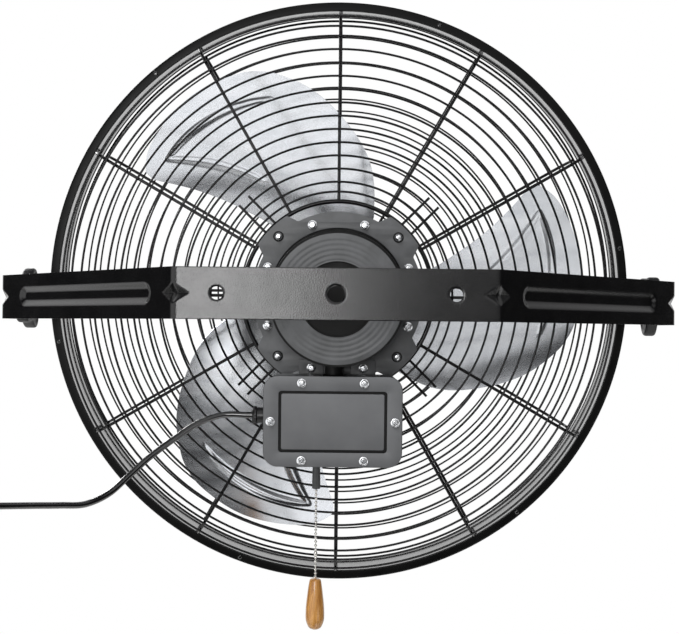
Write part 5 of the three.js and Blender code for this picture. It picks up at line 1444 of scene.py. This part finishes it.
def makeBoxBracket():
    half, top, tab = bracket["half"], bracket["top"], bracket["tabTop"]
    x, w, cut = bracket["tabX"], bracket["tabHalf"], plate["bore"]
    low, high = -(x + w), -(x - w)
    outline = [(-half, bracket["bottom"], 4), (half, bracket["bottom"], 4), (half, top, 3), (x + w, top, 2),
               (x + w, tab, 3), (x + w - 10, tab, 0)]
    steps = [math.radians(a) for a in (-62, -65, -68)]
    outline += [(cut * math.cos(a), cut * math.sin(a), 0) for a in steps if cut * math.cos(a) > x - w + 1]
    outline += [(x - w, -math.sqrt(cut ** 2 - (x - w) ** 2), 0), (x - w, top, 2), (high, top, 2),
                (high, -math.sqrt(cut ** 2 - high ** 2), 0)]
    outline += [(-cut * math.cos(a), cut * math.sin(a), 0)
                for a in steps[::-1] if cut * math.cos(a) > x - w + 1]
    outline += [(low + 10, tab, 0), (low, tab, 3), (low, top, 2), (-half, top, 3)]
    holes = [circle(s * bracket["tabX"], bracket["holeZ"], bracket["hole"], 20)[::-1] for s in (-1, 1)]
    front = box["tabRear"] + bracket["sheet"]
    return sheetBetween("boxBracket", [soften(outline, steps=4), *holes], box["tabRear"], front, motorPaint,
                        0.4)


boxBracket = makeBoxBracket()
standIn(boxBracket, "motor_paint", "head", "box_bracket")

middleY = (box["front"] + box["rear"]) / 2


neck = {"bottom": -86.7, "bore": 7.5, "collar": 11.5, "round": 9.5}


# the neck between can and box: its upper end is fitted to the can's round, a collar lies on the box
def makeNeck():
    points = []
    sides, bottom, bore, wide, out = 64, neck["bottom"], neck["bore"], neck["collar"], neck["round"]
    rows = [(bore, bottom), (wide, bottom), (wide, bottom + 1.2), (wide - 0.6, bottom + 1.8),
            (out, bottom + 2.4), (out, None), (bore, None)]
    for r, z in rows:
        for k in range(sides):
            a = 2 * math.pi * k / sides
            x = box["x"] + r * math.cos(a)
            top = -math.sqrt(can["radius"] ** 2 - x * x) - 0.3
            points.append((x, middleY + r * math.sin(a), top if z is None else z))
    return makePiece("boxNeck", points, bands(len(rows), sides), blackPaintAndShade, 36, headPlace)


boxNeck = makeNeck()
standIn(boxNeck, "black_metal", "head", "box_neck")

gland = {"z": -131.5, "wall": -77, "bore": 3.8, "radius": 8.6, "long": 11, "nut": 10.2, "nutLong": 5}
glandPlace = (headPlace @ Matrix.Translation((0, middleY * mm, gland["z"] * mm))
              @ Matrix.Rotation(math.pi / 2, 4, "Z"))


# along the gland's own axis, height h stands for x = -h
def makeGland():
    w = -gland["wall"]
    body = turned("glandBody", soften([
        (gland["bore"], w - 4), (5.7, w - 4), (5.7, w + 0.3, 0), (gland["radius"] + 1.6, w + 0.3, 0.6),
        (gland["radius"] + 1.6, w + 3.2, 0.8), (gland["radius"], w + 3.8, 0.5),
        (gland["radius"], w + 0.3 + gland["long"], 0.5),
        (gland["bore"], w + 0.3 + gland["long"])], 0.3), mouldedPvc, 48, True, 36, glandPlace)
    low = w + 0.6 + gland["long"]
    high = low + gland["nutLong"]
    sides, rows = 72, []
    for y, r, ridge in ((low, 0.9, 0), (low + 0.4, 1, 0.5), (high - 2.2, 1, 0.5), (high - 0.8, 0.9, 0.2),
                        (high, 0.76, 0)):
        rows.append([(gland["nut"] * r - ridge * (0.5 + 0.5 * math.cos(12 * 2 * math.pi * k / sides)), y)
                     for k in range(sides)])
    rows += [[(gland["bore"] + 0.5, high)] * sides, [(gland["bore"], high - 0.6)] * sides,
             [(gland["bore"], low)] * sides]
    points = [(r * math.cos(2 * math.pi * k / sides), y, r * math.sin(2 * math.pi * k / sides))
              for row in rows for k, (r, y) in enumerate(row)]
    return body, makePiece("glandNut", points, bands(len(rows), sides), mouldedPvc, 30, glandPlace)


glandBody, glandNut = makeGland()
for piece, node in ((glandBody, "gland_body"), (glandNut, "gland_nut")):
    standIn(piece, "black_metal", "head", node)
print("box done")


# ---- switch sleeve, bead chain and wooden pull ----
pull = {"x": -22, "sleeveTop": -181.3, "sleeveEnd": -213.3, "top": 4.1, "bottom": 4.7, "bore": 2.9,
        "beads": 23, "pitch": 4.37, "bead": 1.6, "link": 0.55, "foot": (-22, 192.65, -211.6)}
hanging = (headPlace @ Matrix.Translation((pull["x"] * mm, middleY * mm, 0))
           @ Matrix.Rotation(math.pi / 2, 4, "X"))
switchSleeve = turned("switchSleeve", soften([
    (pull["bore"], pull["sleeveTop"], 0.3), (pull["top"], pull["sleeveTop"], 0.4),
    (pull["bottom"], pull["sleeveEnd"], 0.7), (pull["bore"], pull["sleeveEnd"], 0.4)], steps=3),
                      sleevePlastic, 40, True, 40, hanging)
standIn(switchSleeve, "switch_plastic", "head", "switch_sleeve")


# beads on a line, with a thin link through them and a longer coupling bead half way
def chainTree():
    tree = bpy.data.node_groups.new("ballChain", "GeometryNodeTree")
    tree.interface.new_socket("Chain", in_out="INPUT", socket_type="NodeSocketGeometry")
    for name, kind in (("Bead Count", "NodeSocketInt"), ("Pitch", "NodeSocketFloat"),
                       ("Bead Radius", "NodeSocketFloat"),
                       ("Link Radius", "NodeSocketFloat"), ("Coupling", "NodeSocketInt"),
                       ("Finish", "NodeSocketMaterial")):
        tree.interface.new_socket(name, in_out="INPUT", socket_type=kind)
    tree.interface.new_socket("Chain", in_out="OUTPUT", socket_type="NodeSocketGeometry")
    given = addNode(tree, "NodeGroupInput").outputs
    down = maths(tree, "MULTIPLY", given["Pitch"], -1.0)
    half = maths(tree, "MULTIPLY", given["Pitch"], -0.5)
    end = maths(tree, "MULTIPLY", given["Bead Count"], down)
    line = nodeOut(tree, "GeometryNodeMeshLine", inputs={
        "Count": given["Bead Count"], "Start Location": addNode(tree, "ShaderNodeCombineXYZ",
                                                                inputs={"Z": half}).outputs[0],
        "Offset": addNode(tree, "ShaderNodeCombineXYZ", inputs={"Z": down}).outputs[0]})
    ball = nodeOut(tree, "GeometryNodeMeshIcoSphere",
                   inputs={"Radius": given["Bead Radius"], "Subdivisions": 3})
    number = nodeOut(tree, "GeometryNodeInputIndex")
    coupling = maths(tree, "COMPARE", number, given["Coupling"], 0.5)
    wide = maths(tree, "MULTIPLY_ADD", coupling, 0.25, 1.0)
    tall = maths(tree, "MULTIPLY_ADD", coupling, 1.1, 1.0)
    size = nodeOut(tree, "ShaderNodeCombineXYZ", inputs={"X": wide, "Y": wide, "Z": tall})
    beads = nodeOut(tree, "GeometryNodeInstanceOnPoints",
                    inputs={"Points": line, "Instance": ball, "Scale": size})
    top = maths(tree, "MULTIPLY", half, 0.3)
    rod = nodeOut(tree, "GeometryNodeCurvePrimitiveLine", inputs={
        "Start": addNode(tree, "ShaderNodeCombineXYZ", inputs={"Z": top}).outputs[0],
        "End": addNode(tree, "ShaderNodeCombineXYZ", inputs={"Z": end}).outputs[0]})
    section = addNode(tree, "GeometryNodeCurvePrimitiveCircle",
                      inputs={"Resolution": 8, "Radius": given["Link Radius"]})
    link = nodeOut(tree, "GeometryNodeCurveToMesh",
                   inputs={"Curve": rod, "Profile Curve": section.outputs["Curve"],
                           "Fill Caps": True})
    both = addNode(tree, "GeometryNodeJoinGeometry")
    for part in (beads, link):
        tree.links.new(part, both.inputs[0])
    real = nodeOut(tree, "GeometryNodeRealizeInstances", inputs={"Geometry": both.outputs[0]})
    done = nodeOut(tree, "GeometryNodeSetMaterial", inputs={"Geometry": real, "Material": given["Finish"]})
    addNode(tree, "NodeGroupOutput", inputs={0: done})
    return tree


chainTop = Vector(pull["foot"]) - Vector((0, 0, 0.3))
ballChain = grow("ballChain", chainTree(), {
    "Bead Count": pull["beads"], "Pitch": pull["pitch"] * mm, "Bead Radius": pull["bead"] * mm,
    "Link Radius": pull["link"] * mm, "Coupling": 16, "Finish": nickelPlate},
                 place=Matrix.Translation(chainTop * mm), sharp=60)
standIn(ballChain, "steel", "chain", "pull_chain")

wooden = {"outline": [(6, 0), (7.6, 8), (9.8, 26), (10.5, 38), (10, 46), (7.1, 53), (3.5, 55.4)], "long": 56}


def makeWoodenPull():
    line = [(0, 0.6), (1.4, 0.6), (1.9, 0), (5.3, 0)]
    line += [tuple(uniformSpline(wooden["outline"], k / 48)) for k in range(1, 49)]
    line += [(1.8, wooden["long"] - 0.15), (0, wooden["long"])]
    top = chainTop - Vector((0, 0, pull["beads"] * pull["pitch"] + 0.3))
    place = Matrix.Translation(top * mm) @ Matrix.Rotation(-math.pi / 2, 4, "X")
    return turned("woodenPull", line, woodLacquer, 64, False, 50, place)


woodenPull = makeWoodenPull()
standIn(woodenPull, "wood", "pull", "wooden_pull")
print("pull done")


# ---- finishes of the CAD pieces that keep their shape inside the motor and the box ----
keptFinishes = {
    "rear_bearing": groundSteel, "front_bearing": groundSteel,
    "stator": copperWinding, "rotor": groundSteel, "motor_shaft": groundSteel, "pull_switch": mouldedPvc,
    "run_capacitor": rolledAluminium, "switch_plunger": groundSteel,
}
for node, material in keptFinishes.items():
    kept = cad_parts[node]
    for slot in kept.material_slots:
        slot.material = material


# ---- light and surroundings ----
lamps = {
    # a broad panel behind the camera to the left: its reflection fills the left half of the strip
    "leftPanel": {"at": (-0.46, -2.3, 0.07), "to": (-0.2, 0, 0), "size": (0.78, 0.62), "power": 16},
    "overhead": {"at": (-0.9, -1.6, 2.4), "to": (0, 0.2, 0), "size": (1.4, 1.4), "power": 92,
                 "mirrored": False},
    # a small one beside it for the highlights on gloss and wire
    "glint": {"at": (-0.9, -1.6, 2.4), "to": (0, 0.2, 0), "size": (0.55, 0.55), "power": 14},
    "roomLeft": {"at": (-1.8, 2.6, 1.4), "to": (0, 0.2, 0), "size": (1.6, 1.6), "power": 50},
    "roomRight": {"at": (2.4, 1.6, 1.2), "to": (0, 0.2, 0), "size": (1.2, 1.6), "power": 25,
                  "mirrored": False},
}


def placeLamps():
    for name, setup in lamps.items():
        lamp = bpy.data.lights.new(name, "AREA")
        lamp.shape = "RECTANGLE"
        lamp.size, lamp.size_y = setup["size"]
        lamp.energy = setup["power"]
        holder = addObject(name, lamp)
        holder.location = setup["at"]
        ahead = Vector(setup["to"]) - Vector(setup["at"])
        holder.rotation_euler = ahead.to_track_quat("-Z", "Y").to_euler()
        holder.visible_glossy = setup.get("mirrored", True)


# White to the camera. Mirrors see white towards the room, and on the wall side soft boxes in the dark.
softBoxes = {"left": {"towards": (-0.74, -0.62, -0.24), "level": 1.35, "edge": 0.78, "core": 0.93},
             "above": {"towards": (0.2, -0.76, 0.61), "level": 0.9, "edge": 0.72, "core": 0.88},
             "below": {"towards": (0.3, -0.36, -0.88), "level": 2.1, "edge": 0.92, "core": 0.97},
             "lowRight": {"towards": (0.62, -0.72, -0.3), "level": 1.5, "edge": 0.95, "core": 0.985},
             "leftLow": {"towards": (-0.74, 0.25, -0.62), "level": 1.2, "edge": 0.88, "core": 0.96},
             "leftHigh": {"towards": (-0.74, 0.25, 0.62), "level": 1.2, "edge": 0.88, "core": 0.96},
             "rightHigh": {"towards": (0.74, 0.25, 0.62), "level": 0.45, "edge": 0.88, "core": 0.96}}


def makeWorld():
    world = bpy.data.worlds.new("studio")
    world.use_nodes = True
    bpy.context.scene.world = world
    tree = world.node_tree
    tree.nodes.clear()
    ray = addNode(tree, "ShaderNodeLightPath").outputs
    where = addNode(tree, "ShaderNodeTexCoord").outputs["Generated"]
    roomWards = addNode(tree, "ShaderNodeSeparateXYZ", inputs={"Vector": where}).outputs["Y"]
    seen = nodeOut(tree, "ShaderNodeMapRange", inputs={"Value": roomWards, "From Min": 0.4, "From Max": 0.75,
                                                       "To Min": 0.03, "To Max": 1.0})
    for softBox in softBoxes.values():
        facing = addNode(tree, "ShaderNodeVectorMath", {"operation": "DOT_PRODUCT"},
                         {0: where, 1: softBox["towards"]})
        glow = nodeOut(tree, "ShaderNodeMapRange", {"interpolation_type": "SMOOTHSTEP"}, {
            "Value": facing.outputs["Value"], "From Min": softBox["edge"], "From Max": softBox["core"],
            "To Max": softBox["level"]})
        seen = maths(tree, "ADD", seen, glow)
    mirrored = maths(tree, "MAXIMUM", ray["Is Glossy Ray"], ray["Is Transmission Ray"])
    ambient = nodeOut(tree, "ShaderNodeMix", {"data_type": "FLOAT"}, {"Factor": mirrored, 2: 0.42, 3: seen})
    level = nodeOut(tree, "ShaderNodeMix", {"data_type": "FLOAT"},
                    {"Factor": ray["Is Camera Ray"], 2: ambient, 3: 1.0})
    sky = nodeOut(tree, "ShaderNodeBackground", inputs={"Color": (1, 1, 1, 1), "Strength": level})
    addNode(tree, "ShaderNodeOutputWorld", inputs={"Surface": sky})


# a pale floor far under the fan
def makeFloor():
    material = makeMaterial("paleFloorPaint", {
        "colours": ("#e6e6e4", "#efefed"), "patch": 300, "roughness": (0.6, 0.75), "grain": 2, "depth": 0.1,
        "bump": 0.2})
    half, low, back, front = 2800, -1500, -300, 3500
    floor = makePiece("floor", [(-half, back, low), (half, back, low), (half, front, low),
                                (-half, front, low)],
                      [[0, 1, 2, 3]], material, outwards=False)


placeLamps()
makeWorld()
makeFloor()
bpy.context.scene.view_settings.view_transform = "Standard"
print("light done")
